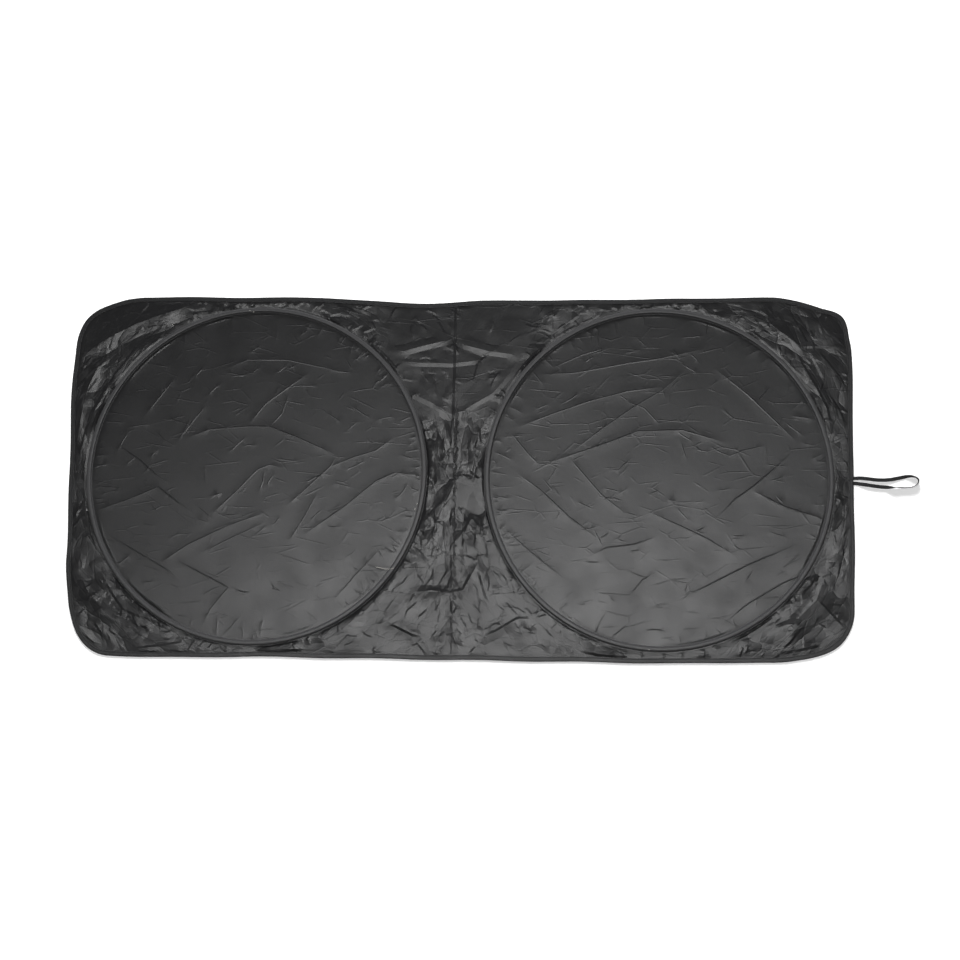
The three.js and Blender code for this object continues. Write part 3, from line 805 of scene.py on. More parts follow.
class Facets:
    """Loose flat facets between scattered points, as crumpled cloth settles into."""

    stray = 0.42  # how far each point lies from an even row, in steps

    def __init__(self, reach: Point, step: float, seed: Seed) -> None:
        """Scatters the points and joins them.

        Args:
            reach: Half the patch's length and width in millimetres.
            step: Size of a facet.
            seed: Seed of the scatter.
        """
        draw = seed.draw()
        points, heights = [], []
        y = -reach[1] - step
        row = 0
        while y < reach[1] + step:
            x = -reach[0] - step + (row % 2) * step / 2
            while x < reach[0] + step:
                across, along = (draw.uniform(-self.stray, self.stray) * step for _ in range(2))
                points.append(Vector((x + across, y + along)))
                heights.append(draw.random())
                x += step
            y += step
            row += 1
        made, _, faces, origins, _, _ = delaunay_2d_cdt(points, [], [], 0, 1e-4, True)
        corners = [Vector((p.x, p.y, heights[origin[0]])) for p, origin in zip(made, origins)]
        self.tree = BVHTree.FromPolygons(corners, faces)

    def height(self, places: np.ndarray) -> np.ndarray:
        """Share of the rise at each place, from 0 to 1.

        Args:
            places: Array of places in millimetres.

        Returns:
            The shares.
        """
        down = Vector((0, 0, -1))
        hits = (self.tree.ray_cast(Vector((x, y, 10)), down)[0] for x, y in places)
        return np.array([0.5 if hit is None else hit.z for hit in hits])


class PlaceSet:
    """Places that keep a least distance from each other."""

    def __init__(self, cell: float) -> None:
        """Starts with none.

        Args:
            cell: Size of the search grid, at least the largest distance asked for.
        """
        self.cell = cell
        self.grid: dict[tuple[int, int], list[Point]] = {}
        self.places: list[Point] = []

    def offer(self, places: np.ndarray, apart: float, must: bool = False) -> None:
        """Adds each place that is far enough from the ones kept.

        Args:
            places: Array of places in millimetres.
            apart: Least distance.
            must: Whether they are all kept.
        """
        for x, y in places.tolist():
            i, j = math.floor(x / self.cell), math.floor(y / self.cell)
            if not must and self.is_near(x, y, i, j, apart):
                continue
            self.grid.setdefault((i, j), []).append((x, y))
            self.places.append((x, y))

    def is_near(self, x: float, y: float, i: int, j: int, apart: float) -> bool:
        """Whether a kept place lies within a distance.

        Args:
            x: The new place along the sheet.
            y: And across it.
            i: Column of its cell in the search grid.
            j: Row of its cell.
            apart: The distance.

        Returns:
            True if one does.
        """
        for di in (-1, 0, 1):
            for dj in (-1, 0, 1):
                for px, py in self.grid.get((i + di, j + dj), ()):
                    if (px - x) ** 2 + (py - y) ** 2 < apart * apart:
                        return True
        return False


# Creases inside the hoops as shares of the hoop's radius, each with its strength
DISC_CREASES: dict[Side, list[tuple[float, Line]]] = {
    Side.LEFT: [
        (1.3, [(-0.42, 0.21), (-0.29, 0.26), (-0.06, 0.28), (0.07, 0.28), (0.23, 0.22), (0.48, 0.11)]),
        (1.2, [(-0.95, -0.24), (-0.76, -0.17), (-0.58, -0.09), (-0.36, -0.25)]),
        (1.0, [(-0.85, 0.17), (-0.7, 0.07), (-0.58, -0.03), (-0.51, -0.07)]),
        (1.0, [(0.21, -0.18), (0.44, 0.04), (0.48, 0.11)]),
        (1.2, [(0.31, -0.36), (0.53, -0.2), (0.72, -0.04), (0.83, 0.01), (0.97, -0.01)]),
        (1.0, [(0.44, 0.04), (0.58, 0.1), (0.71, 0.14), (0.8, 0.21)]),
        (1.1, [(-0.55, -0.55), (-0.38, -0.43), (-0.16, -0.32), (0.06, -0.24)]),
        (0.8, [(-0.3, -0.48), (-0.13, -0.39), (0.06, -0.3)]),
        (1.0, [(-0.24, -0.24), (-0.11, -0.11), (0.01, 0.02), (0.08, 0.05), (0.16, 0.03)]),
        (0.8, [(-0.2, 0.64), (-0.08, 0.69), (0.16, 0.69), (0.54, 0.61)]),
        (0.9, [(-0.06, 0.29), (0.04, 0.42), (0.29, 0.61)]),
        (0.8, [(0.07, 0.28), (0.14, 0.36), (0.18, 0.49)]),
        (1.0, [(-0.86, -0.38), (-0.66, -0.49), (-0.5, -0.58), (-0.42, -0.64)]),
        (1.0, [(-0.47, -0.51), (-0.27, -0.61), (-0.13, -0.68), (-0.23, -0.81), (-0.27, -0.9)]),
        (0.8, [(0.22, -0.4), (0.31, -0.24), (0.37, -0.12)]),
        (0.9, [(0.5, -0.74), (0.61, -0.6), (0.75, -0.45)]),
        (1.0, [(-0.78, 0.27), (-0.66, 0.29)]),
        (0.7, [(-0.68, 0.35), (-0.52, 0.57)]),
        (0.8, [(-0.48, 0.19), (-0.32, 0.41)]),
    ],
    Side.RIGHT: [
        (1.4, [(-0.66, 0.07), (-0.49, 0.13), (-0.27, 0.21), (-0.12, 0.27), (0.14, 0.28), (0.38, 0.21)]),
        (0.9, [(-0.72, 0.61), (-0.49, 0.62), (-0.18, 0.68), (0.01, 0.71), (0.27, 0.77)]),
        (0.8, [(-0.62, 0.65), (-0.45, 0.73), (-0.29, 0.78)]),
        (1.1, [(-0.86, 0.25), (-0.76, 0.13), (-0.69, 0.06)]),
        (1.1, [(-0.82, 0.29), (-0.62, 0.37), (-0.4, 0.45), (-0.18, 0.51), (0.03, 0.54)]),
        (1.0, [(-0.52, 0.13), (-0.33, 0.28), (-0.15, 0.41), (0.03, 0.52), (0.15, 0.63)]),
        (0.8, [(-0.19, 0.45), (-0.08, 0.41), (0.02, 0.3)]),
        (1.6, [(0.55, -0.08), (0.73, -0.17), (0.92, -0.23)]),
        (1.1, [(0.32, -0.26), (0.44, -0.13), (0.55, -0.05), (0.77, 0.14)]),
        (1.3, [(-0.82, 0.01), (-0.68, -0.09), (-0.52, -0.24), (-0.35, -0.37)]),
        (1.2, [(-0.52, 0.11), (-0.33, -0.11), (-0.19, -0.22)]),
        (1.0, [(-0.39, -0.47), (-0.3, -0.42), (-0.15, -0.4), (-0.02, -0.36)]),
        (1.1, [(0.11, -0.71), (0.28, -0.63), (0.53, -0.5), (0.79, -0.39)]),
        (1.0, [(0.35, -0.86), (0.51, -0.73), (0.71, -0.61), (0.89, -0.53)]),
        (1.0, [(-0.05, -0.21), (0.13, -0.29), (0.28, -0.36), (0.44, -0.46)]),
        (0.9, [(0.4, 0.12), (0.49, 0.16), (0.62, 0.19)]),
        (1.1, [(0.34, 0.65), (0.53, 0.49), (0.74, 0.28), (0.8, 0.22)]),
        (1.0, [(-0.89, -0.32), (-0.75, -0.44), (-0.55, -0.6)]),
        (0.8, [(-0.18, -0.71), (-0.09, -0.6), (-0.02, -0.56)]),
    ],
}


# Folds outside the hoops as shares of the half length and half width. A positive
# strength puts the steep side towards the lamp, a negative one away from it
FIELD_CREASES: list[tuple[float, Line]] = [
    # Upper left corner
    (0.9, [(-0.918, 0.906), (-0.892, 0.839), (-0.901, 0.78), (-0.915, 0.683)]),
    (-1.2, [(-0.976, 0.09), (-0.947, 0.324), (-0.894, 0.551), (-0.844, 0.699), (-0.789, 0.803)]),
    (-1.0, [(-1.004, 0.528), (-0.927, 0.654)]),
    (-1.0, [(-0.999, 0.462), (-0.923, 0.624)]),
    (-1.0, [(-0.996, 0.381), (-0.955, 0.47), (-0.931, 0.558)]),
    (-0.9, [(-0.976, 0.07), (-0.966, 0.193), (-0.951, 0.331), (-0.927, 0.433), (-0.89, 0.536)]),
    (0.8, [(-0.914, 0.899), (-0.894, 0.839)]),
    (-0.7, [(-0.641, 0.976), (-0.627, 0.939)]),
    # Lower left corner
    (-1.2, [(-0.898, -0.561), (-0.863, -0.675), (-0.833, -0.757), (-0.808, -0.777), (-0.715, -0.846)]),
    (-0.8, [(-0.952, -0.802), (-0.931, -0.757)]),
    (-0.8, [(-0.911, -0.785), (-0.885, -0.743)]),
    (-0.9, [(-0.937, -0.724), (-0.895, -0.655)]),
    (-0.8, [(-0.942, -0.661), (-0.911, -0.608)]),
    (-0.9, [(-0.849, -0.799), (-0.81, -0.792), (-0.794, -0.849), (-0.745, -0.837)]),
    (-1.1, [(-0.91, -0.816), (-0.888, -0.877), (-0.877, -0.934)]),
    (-0.9, [(-0.819, -0.978), (-0.78, -0.966), (-0.734, -0.955), (-0.691, -0.938), (-0.65, -0.921)]),
    (-0.7, [(-0.668, -0.993), (-0.641, -0.9)]),
    (0.6, [(-0.955, -0.578), (-0.938, -0.614)]),
    (0.6, [(-0.867, -0.696), (-0.875, -0.737)]),
    (0.7, [(-0.96, -0.489), (-0.955, -0.557)]),
    # Upper right corner
    (-1.2, [(0.699, 0.894), (0.733, 0.889), (0.753, 0.854), (0.812, 0.783), (0.848, 0.743), (0.857, 0.723)]),
    (1.0, [(0.765, 0.854), (0.816, 0.788), (0.857, 0.794)]),
    (-1.0, [(0.856, 0.906), (0.893, 0.749)]),
    (-1.3, [(0.857, 0.728), (0.885, 0.608), (0.911, 0.508), (0.938, 0.388), (0.948, 0.27)]),
    (1.0, [(0.897, 0.724), (0.925, 0.598), (0.94, 0.523)]),
    (-1.0, [(0.915, 0.719), (0.952, 0.618), (0.976, 0.544), (0.993, 0.474)]),
    (0.9, [(0.892, 0.906), (0.907, 0.769)]),
    (-1.3, [(0.899, 0.906), (0.963, 0.79), (0.99, 0.74)]),
    (0.9, [(0.861, 0.728), (0.902, 0.734), (0.99, 0.73)]),
    (-0.9, [(0.939, 0.483), (0.972, 0.364), (0.984, 0.285)]),
    (0.8, [(0.788, 0.926), (0.808, 0.829)]),
    (-0.8, [(0.784, 0.987), (0.76, 0.879)]),
    # Lower right corner
    (-1.3, [(0.895, -0.46), (0.88, -0.501), (0.853, -0.585), (0.803, -0.693), (0.768, -0.742),
            (0.735, -0.787)]),
    (-0.8, [(0.905, -0.491), (0.89, -0.567), (0.869, -0.611), (0.852, -0.638)]),
    (-1.0, [(0.893, -0.637), (0.919, -0.693), (0.946, -0.758), (0.972, -0.81)]),
    (-1.1, [(0.789, -0.824), (0.826, -0.788), (0.863, -0.783)]),
    (-1.2, [(0.863, -0.787), (0.834, -0.875), (0.807, -0.928)]),
    (-1.3, [(0.805, -0.937), (0.87, -0.909), (0.926, -0.876)]),
    (0.8, [(0.897, -0.777), (0.925, -0.807), (0.942, -0.754)]),
    (-0.8, [(0.707, -0.966), (0.72, -0.901)]),
    (0.7, [(0.927, -0.671), (0.977, -0.678)]),
    (-0.7, [(0.916, -0.535), (0.926, -0.583)]),
    (-0.7, [(0.893, -0.628), (0.884, -0.681)]),
    (-0.6, [(0.83, -0.657), (0.844, -0.683)]),
    # Between the hoops, the upper part
    (1.9, [(-0.173, 0.693), (-0.138, 0.694), (-0.094, 0.722), (-0.02, 0.761), (-0.01, 0.794)]),
    (1.7, [(-0.007, 0.755), (0.02, 0.728), (0.078, 0.696), (0.139, 0.68), (0.164, 0.643)]),
    (1.4, [(-0.173, 0.638), (-0.103, 0.628), (-0.013, 0.624), (0.046, 0.641), (0.087, 0.691)]),
    (1.8, [(-0.115, 0.454), (-0.06, 0.395), (-0.015, 0.337)]),
    (1.6, [(-0.015, 0.337), (0.014, 0.353), (0.048, 0.402), (0.092, 0.457), (0.145, 0.599)]),
    (0.7, [(-0.096, 0.678), (-0.071, 0.629), (-0.057, 0.542), (-0.032, 0.515)]),
    (-0.8, [(0.087, 0.691), (0.053, 0.625), (0.044, 0.538), (0.015, 0.505)]),
    (0.7, [(-0.041, 0.439), (-0.016, 0.407)]),
    (-0.9, [(0.241, 0.976), (0.242, 0.792)]),
    # The pressed fold down the middle
    (-1.6, [(-0.006, 1.5), (-0.0045, 0.6), (-0.006, 0.306), (-0.009, 0.1), (-0.009, -0.03)]),
    (-0.7, [(-0.009, -0.03), (-0.007, -0.25), (-0.004, -0.467), (-0.002, -0.75), (0.001, -0.99)]),
    # The narrow part
    (-1.3, [(-0.062, 0.101), (-0.071, 0.005), (-0.072, -0.133), (-0.073, -0.228), (-0.112, -0.386)]),
    (1.0, [(-0.048, 0.17), (-0.057, 0.063), (-0.053, -0.016), (-0.055, -0.096)]),
    (-1.0, [(0.038, 0.108), (0.037, 0.028), (0.061, -0.014), (0.062, -0.067)]),
    (-1.4, [(0.067, -0.067), (0.077, -0.151), (0.09, -0.234), (0.115, -0.354), (0.145, -0.472)]),
    (-1.0, [(-0.082, -0.28), (-0.049, -0.19), (-0.011, -0.1)]),
    (-1.0, [(0.002, -0.383), (0.044, -0.241), (0.074, -0.318), (0.059, -0.345), (0.069, -0.417)]),
    (0.9, [(0.02, 0.279), (0.025, 0.198), (0.019, 0.102)]),
    (-0.9, [(-0.022, 0.064), (-0.024, 0.016)]),
    (-0.8, [(0.038, -0.136), (0.055, -0.114), (0.072, -0.151)]),
    (1.1, [(-0.009, -0.029), (0.02, -0.035), (0.043, -0.03)]),
    # The lower part
    (-1.5, [(-0.087, -0.643), (-0.049, -0.632), (-0.01, -0.646), (0.026, -0.63), (0.06, -0.489)]),
    (-1.2, [(0.06, -0.489), (0.081, -0.644), (0.096, -0.72)]),
    (-1.2, [(-0.175, -0.79), (-0.135, -0.83), (-0.097, -0.869), (-0.056, -0.883)]),
    (-1.1, [(0.073, -0.884), (0.111, -0.847), (0.163, -0.779), (0.192, -0.778)]),
    (-0.8, [(-0.089, -0.904), (-0.059, -0.98)]),
    (-0.8, [(0.071, -0.904), (0.041, -0.981)]),
    (-0.7, [(-0.177, -0.78), (-0.142, -0.671)]),
    (-0.9, [(-0.119, -0.798), (-0.113, -0.747), (-0.08, -0.684)]),
    (-0.8, [(-0.039, -0.621), (-0.009, -0.507)]),
    (-0.8, [(0.129, -0.688), (0.163, -0.769)]),
    (-0.8, [(0.05, -0.691), (0.077, -0.756)]),
    (-0.8, [(-0.098, -0.52), (-0.074, -0.586), (-0.071, -0.622)]),
]


# Broad drapes as shares of the half length and half width, each with its rise and the
# width of its side towards the lamp and of the side away from it, in millimetres
DRAPES: list[tuple[float, float, float, Line]] = [
    (4.4, 24, 46, [(-1.0, 0.62), (-0.96, 0.7), (-0.901, 0.78), (-0.848, 0.84), (-0.795, 0.885),
                   (-0.675, 0.975)]),
    (3.0, 15, 13, [(-0.985, 0.142), (-0.975, 0.36), (-0.965, 0.469), (-0.942, 0.587), (-0.905, 0.67)]),
    (2.6, 15, 22, [(0.73, 0.93), (0.8, 0.86), (0.86, 0.76), (0.9, 0.66)]),
    (2.2, 14, 26, [(-0.97, -0.5), (-0.93, -0.66), (-0.87, -0.8), (-0.8, -0.87)]),
    (2.4, 13, 30, [(0.93, -0.5), (0.9, -0.66), (0.84, -0.79), (0.76, -0.87)]),
    (2.9, 60, 20, [(-0.1, -0.43), (-0.155, -0.6), (-0.22, -0.75), (-0.29, -0.87), (-0.35, -0.94)]),
    (2.2, 5, 17, [(-0.49, -0.966), (-0.43, -0.962), (-0.37, -0.955)]),
    (2.2, 5, 17, [(0.32, -0.94), (0.37, -0.96), (0.43, -0.967)]),
    (1.9, 45, 12, [(-0.11, -0.642), (-0.06, -0.64), (-0.005, -0.646)]),
]


@dataclass
class ShadeSheet:
    """The creased polyester sheet, one closed cloth with a black and a silver face."""

    sizes: ShadeSizes
    hem: Hem
    disc_share: float = 0.08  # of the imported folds' height inside the hoops
    field_share: float = 0.12  # the same outside them
    waist_share: float = 0.5  # and how much more in the narrow part
    lit_spot: Point = (150.0, -340.0)  # where flat cloth mirrors the lamp to the viewer
    pressed_rise: float = 0.4  # of the fine ridges inside the hoops
    pressed_width: float = 2.1
    slope_rise: float = 0.085  # of the soft slope beside each
    slope_width: float = 13.0
    fold_rise: float = 0.95  # of the folds outside the hoops
    fold_width: float = 4.3  # of their steep side
    calm_widen: float = 1.45  # how much wider the folds of the smooth upper part are
    calm_shallow: float = 11.0  # width of a fold's shallow side, times its steep side's
    traced_shallow: float = 6.5
    strewn_shallow: float = 3.0
    facet_slope: float = 0.042  # slope of the smooth facet in the narrow part
    facet_level: float = 2.3  # and its height at its middle
    facet_middle: Point = (25.0, -36.0)
    sink: float = 0.2  # how far the cloth lies below the hem's level between the hoops
    hem_step: float = 6.0  # from corner to corner of the mesh along the hem
    field_step: float = 4.9  # between the hoops and round them
    disc_step: float = 9.0  # and inside them, away from creases
    rim_fade: float = 3.5  # how far from a casing the folds reach their full height
    hem_fade: float = 3.5  # and from the binding
    sharp_angle: float = math.radians(6)  # least angle that is shaded as an edge
    packed_fold_angle: float = math.radians(2.5)  # least angle of a packed fold that the mesh follows
    smoothing: float = 0.85  # share of the crumpling that the smooth parts lose
    short_lines: int = 64  # strewn inside each hoop
    short_half: Point = (7, 22)  # range of half their length
    short_bend: float = 0.12
    short_strength: Point = (0.55, 1.0)
    short_width: float = 1.9
    main_share: float = 0.6  # share of them that run the main way
    main_way: Point = (26, 24)  # its direction and spread, in degrees
    cross_way: Point = (-38, 20)  # the same of the others
    strewn_folds: int = 420  # strewn over the rest of the sheet
    rim_clear: float = 9.0  # least distance of their middles from a hoop
    strip_crumples: int = 44  # in each strip between a hoop and the far long edge
    gathers: int = 150  # round each casing
    rim_folds: int = 34  # beside each casing
    hem_rows: tuple = (3, 6.5, 9.5)  # depths of the rows of corners along the hem
    rim_rows: tuple = (-10, -7.8, -6.1, 6.1, 7.8, 10)  # and their distances from the hoops
    rim_places: int = 340  # corners in a row round a hoop
    swell_reach: Point = (780.0, 380.0)  # the low swells inside the hoops
    swell_step: float = 70.0
    swell_rise: float = 0.5
    pressed: list[Crease] = field(default_factory=list)
    slopes: list[Crease] = field(default_factory=list)
    folds: list[Crease] = field(default_factory=list)

    def base_surface(self) -> tuple[BVHTree, list[np.ndarray]]:
        """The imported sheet's upper surface, and its sharper folds.

        Returns:
            A search tree of the surface in millimetres, and the ends of each sharp edge.
        """
        copy = bmesh.new()
        copy.from_mesh(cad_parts["shade_sheet"].data)
        bmesh.ops.scale(copy, vec=(1 / MM,) * 3, verts=copy.verts)
        bmesh.ops.remove_doubles(copy, verts=copy.verts, dist=1e-3)
        upper = [f for f in copy.faces if f.normal.z > 0.3]
        copy.verts.index_update()
        corners = [v.co.copy() for v in copy.verts]
        tree = BVHTree.FromPolygons(corners, [[v.index for v in f.verts] for f in upper])
        sharp = []
        for edge in copy.edges:
            if len(edge.link_faces) == 2 and all(f.normal.z > 0.3 for f in edge.link_faces):
                if edge.calc_face_angle(0) > self.packed_fold_angle:
                    sharp.append(np.array([v.co[:2] for v in edge.verts]))
        copy.free()
        return tree, sharp

    def hoop_distance(self, places: np.ndarray) -> np.ndarray:
        """Signed distance of each place from the nearer hoop's centre line, negative inside."""
        x, y = places.T
        return np.minimum(*(np.hypot(x - self.sizes.hoop_x(s), y) - self.sizes.hoop_radius for s in Side))

    def add_pressed_lines(self) -> None:
        """Turns the traced creases in the hoops to fine ridges, each with one long soft slope."""
        for side, lines in DISC_CREASES.items():
            for number, (strength, shares) in enumerate(lines):
                line = np.array(shares) * self.sizes.hoop_radius + (self.sizes.hoop_x(side), 0)
                width = self.pressed_width * (0.6 + 0.4 * strength)
                self.pressed.append(Crease(line, self.pressed_rise * strength, width, width))
                long, short = self.slope_width * strength, self.slope_width / 3
                sides = (long, short) if number % 2 else (short, long)
                self.slopes.append(Crease(line, self.slope_rise * strength, *sides))

    def add_short_lines(self) -> None:
        """Strews short straight ridges inside the hoops, in the two directions of the fan."""
        draw = Seed.SHORT_LINES.draw()
        for side in Side:
            for _ in range(self.short_lines):
                away = math.sqrt(draw.random()) * self.sizes.hoop_radius * 0.9
                middle = np.array(self.sizes.on_hoop(side, away, draw.uniform(0, TURN)))
                way = self.main_way if draw.random() < self.main_share else self.cross_way
                angle = math.radians(draw.gauss(*way))
                half, bend = draw.uniform(*self.short_half), draw.uniform(-self.short_bend, self.short_bend)
                line = bent_line(middle, angle, half, bend)
                rise = self.pressed_rise * draw.uniform(*self.short_strength)
                self.pressed.append(Crease(line, rise, self.short_width, self.short_width))

    @staticmethod
    def calm(x: np.ndarray, y: np.ndarray) -> np.ndarray:
        """How far each place lies in the smooth upper part between the hoops, from 0 to 1."""
        half, start, soft = 170, 95, 50
        return ease((half - np.abs(x)) / soft) * ease((y - start) / soft)

    @staticmethod
    def smooth_facet(x: np.ndarray, y: np.ndarray) -> np.ndarray:
        """How far each place lies on the one smooth flat facet in the narrow part.

        Args:
            x: Places along the sheet.
            y: Places across it.

        Returns:
            Shares from 0 off the facet to 1 on it.
        """
        left, right, bottom, top = -5, 64, -74, -1
        across = ease((x - left) / 7) * ease((right - x) / 8)
        upper = ease((5 * np.sin(x / 8) + top - y) / 6)
        return across * upper * ease((y - bottom - 9 * np.sin(x / 12 + 1)) / 7)

    @staticmethod
    def narrow(x: np.ndarray, y: np.ndarray) -> np.ndarray:
        """How far each place lies in the crumpled narrow part, from 0 to 1."""
        half, middle, tall = 90, -20, 130
        return np.exp(-((x / half) ** 2) - ((y - middle) / tall) ** 2)

    def lit_on_left(self, line: np.ndarray) -> bool:
        """Whether the lit spot lies to the left of a line, as one goes along it."""
        run = line[-1] - line[0]
        to_spot = np.array(self.lit_spot) - line.mean(0)
        return bool(run[0] * to_spot[1] - run[1] * to_spot[0] > 0)

    def fold(self, line: np.ndarray, strength: float, shallow: float, widen: float = 1.0) -> Crease:
        """Makes one fold with a steep and a shallow side.

        Args:
            line: Its points in millimetres.
            strength: Its size, positive with the steep side towards the lit spot.
            shallow: Width of its shallow side, times the steep side's.
            widen: How much wider than others it is.

        Returns:
            The fold.
        """
        steep = self.fold_width * (0.45 + 0.55 * abs(strength)) * widen
        sides = (steep, steep * shallow)
        if self.lit_on_left(line) != (strength > 0):
            sides = sides[::-1]
        return Crease(line, self.fold_rise * abs(strength), *sides)

    def add_folds(self) -> None:
        """Turns the traced folds outside the hoops to shapes, and strews smaller ones between."""
        halves = (self.sizes.half_length, self.sizes.half_width)
        for strength, shares in FIELD_CREASES:
            line = np.array(shares) * halves
            if self.calm(*line.mean(0)) > 0.5 and strength > 0:
                self.folds.append(self.fold(line, strength, self.calm_shallow, self.calm_widen))
            else:
                self.folds.append(self.fold(line, strength, self.traced_shallow))
        for rise, lit, dark, shares in DRAPES:
            line = np.array(shares) * halves
            sides = (lit, dark) if self.lit_on_left(line) else (dark, lit)
            self.folds.append(Crease(line, rise, *sides))
        traced = len(self.folds)
        draw = Seed.FOLDS.draw()
        while len(self.folds) < traced + self.strewn_folds:
            x, y = draw.uniform(-1, 1) * halves[0], draw.uniform(-1, 1) * halves[1]
            place = np.array([[x, y]])
            off_rim = self.hoop_distance(place)[0]
            # Most folds lie in the narrow part, and fewest in the smooth upper part
            crumpled = math.exp(-((x / 120) ** 2)) * (0.35 + 0.65 * math.exp(-(((y + 30) / 170) ** 2)))
            likely = 0.1 if self.calm(x, y) > 0.5 else 0.45 + 0.55 * crumpled
            if off_rim < self.rim_clear or draw.random() > likely:
                continue
            hoop = self.sizes.hoop_x(Side.LEFT if x < 0 else Side.RIGHT)
            around = math.atan2(y, x - hoop) + TURN / 4
            lean = TURN / 4 if crumpled > 0.5 else around
            angle = lean + draw.gauss(0, 0.35 if crumpled > 0.5 else 0.5)
            length = draw.uniform(14, 34) + 26 * crumpled * draw.random()
            line = bent_line(place[0], angle, length / 2, draw.uniform(-0.25, 0.25))
            strength = draw.uniform(0.35, 0.8) + 0.6 * crumpled * draw.random()
            signed = strength if draw.random() < 0.4 else -strength
            self.folds.append(self.fold(line, signed, self.strewn_shallow))

    def add_strip_crumples(self) -> None:
        """Crumples the narrow strips between the hoops and the far long edge."""
        draw = Seed.STRIPS.draw()
        for side in Side:
            hoop, radius = self.sizes.hoop_x(side), self.sizes.hoop_radius
            for _ in range(self.strip_crumples):
                x = hoop + draw.uniform(-0.5, 0.72) * radius
                low = math.sqrt(radius**2 - (x - hoop) ** 2) + self.sizes.rim_half
                y = draw.uniform(low + 2, self.sizes.half_width - self.sizes.binding_width - 2)
                angle = draw.gauss(0, 0.45)
                line = bent_line(np.array([x, y]), angle, draw.uniform(6, 16), draw.uniform(-0.3, 0.3))
                self.folds.append(self.fold(line, draw.uniform(0.6, 1.2), self.strewn_shallow))

    def add_gathers(self) -> None:
        """Strews short gathers across both edges of each casing, most of them towards the waist."""
        draw = Seed.GATHERS.draw()
        for side in Side:
            inward = -math.copysign(1, self.sizes.hoop_x(side))
            made = 0
            while made < self.gathers:
                angle = draw.uniform(0, TURN)
                if draw.random() > 0.3 + 0.7 * max(0.0, inward * math.cos(angle)) ** 1.5:
                    continue
                outside = made % 2 == 0
                start = self.sizes.rim_half + draw.uniform(0, 2)
                length = draw.uniform(10, 24) if outside else draw.uniform(9, 40) * draw.random() + 8
                slant = draw.gauss(0, 0.35)
                out = 1 if outside else -1
                steps = [(start, 0.0), (start + length * 0.5, slant * 0.5), (start + length, slant)]
                line = []
                for gone, lean in steps:
                    turned = angle + lean * length / self.sizes.hoop_radius
                    radius = self.sizes.hoop_radius + out * gone
                    line.append(self.sizes.on_hoop(side, radius, turned))
                strength = draw.uniform(0.35, 0.8)
                if outside:
                    signed = strength * draw.choice((-1, 1))
                    self.folds.append(self.fold(np.array(line), signed, self.strewn_shallow))
                else:
                    width = self.pressed_width * draw.uniform(0.9, 1.5)
                    self.pressed.append(Crease(np.array(line), 0.55 * strength, width, width))
                made += 1

    def add_rim_folds(self) -> None:
        """Lays long low folds beside the casings, where the cloth is drawn in."""
        draw = Seed.RIM_FOLDS.draw()
        for side in Side:
            for number in range(self.rim_folds):
                angle = draw.uniform(0, TURN)
                sweep_by = draw.uniform(30, 110) / self.sizes.hoop_radius
                outside = number % 3 > 0
                start, end = (draw.uniform(7.8, 11.5) * (1 if outside else -1) for _ in range(2))
                line = []
                for step in range(7):
                    turned = angle + sweep_by * step / 6
                    radius = self.sizes.hoop_radius + start + (end - start) * step / 6
                    line.append(self.sizes.on_hoop(side, radius, turned))
                strength = draw.uniform(0.5, 1.0)
                if outside:
                    signed = strength * draw.choice((-1, -1, 1))
                    self.folds.append(self.fold(np.array(line), signed, self.strewn_shallow))
                else:
                    self.pressed.append(Crease(np.array(line), 0.5 * strength, 2.2, 3.2))

    def layout(self, sharp: list[np.ndarray]) -> tuple[np.ndarray, np.ndarray]:
        """Chooses the corner places of the fine mesh.

        Args:
            sharp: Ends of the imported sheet's sharp edges.

        Returns:
            The places, hem first, and the hem's own places.
        """
        edge, out = self.hem.stations(self.hem_step)
        kept = PlaceSet(6.0)
        kept.offer(edge, 0, must=True)
        for depth in self.hem_rows:
            kept.offer(edge - out * depth, 2.2)
        turns = np.arange(self.rim_places) / self.rim_places * TURN
        for side in Side:
            for offset in self.rim_rows:
                radius = self.sizes.hoop_radius + offset
                ring = np.stack([np.cos(turns), np.sin(turns)], axis=1) * radius
                kept.offer(ring + (self.sizes.hoop_x(side), 0), 1.6)
        rows: list[tuple[np.ndarray, float]] = []
        # Step along a row, its distances from the crease, and its least distance from other corners
        for crease in self.pressed:
            foot = (-crease.left, crease.right)
            for step, offsets, least in ((3.4, (0,), 1.6), (3.4, (-1.5, 1.5), 1.3), (4.2, foot, 1.7)):
                rows.append((self.inside_hoops(crease.rows(step, offsets)), least))
        for fold in sorted(self.folds, key=lambda made: -made.rise):
            steep = fold.left if fold.left < fold.right else -fold.right
            beside = math.copysign(1.7, -steep)
            for step, offset, least in ((3.4, 0, 1.9), (3.8, steep, 1.9), (3.8, beside, 1.6)):
                rows.append((self.outside_hoops(fold.rows(step, (offset,))), least))
        for ends in sharp:
            rows.append((self.outside_hoops(Crease(ends, 0, 0, 0).rows(4.6, (0,))), 2.8))
        everything = np.concatenate([places for places, _ in rows])
        apart = np.concatenate([np.full(len(places), least) for places, least in rows])
        within = inside_line(everything, edge)
        for places, least in zip(everything[within], apart[within]):
            kept.offer(places[None], least)
        draw = Seed.CORNERS.draw()
        self.fill(kept, self.field_step, draw, lambda p: self.hoop_distance(p) > 6)
        self.fill(kept, self.disc_step, draw, lambda p: self.hoop_distance(p) < -6)
        return np.array(kept.places), edge

    def inside_hoops(self, places: np.ndarray) -> np.ndarray:
        """Those of the places that lie inside a casing."""
        return places[self.hoop_distance(places) < -self.sizes.rim_half]

    def outside_hoops(self, places: np.ndarray) -> np.ndarray:
        """Those of the places that lie outside both casings."""
        return places[self.hoop_distance(places) > self.sizes.rim_half]

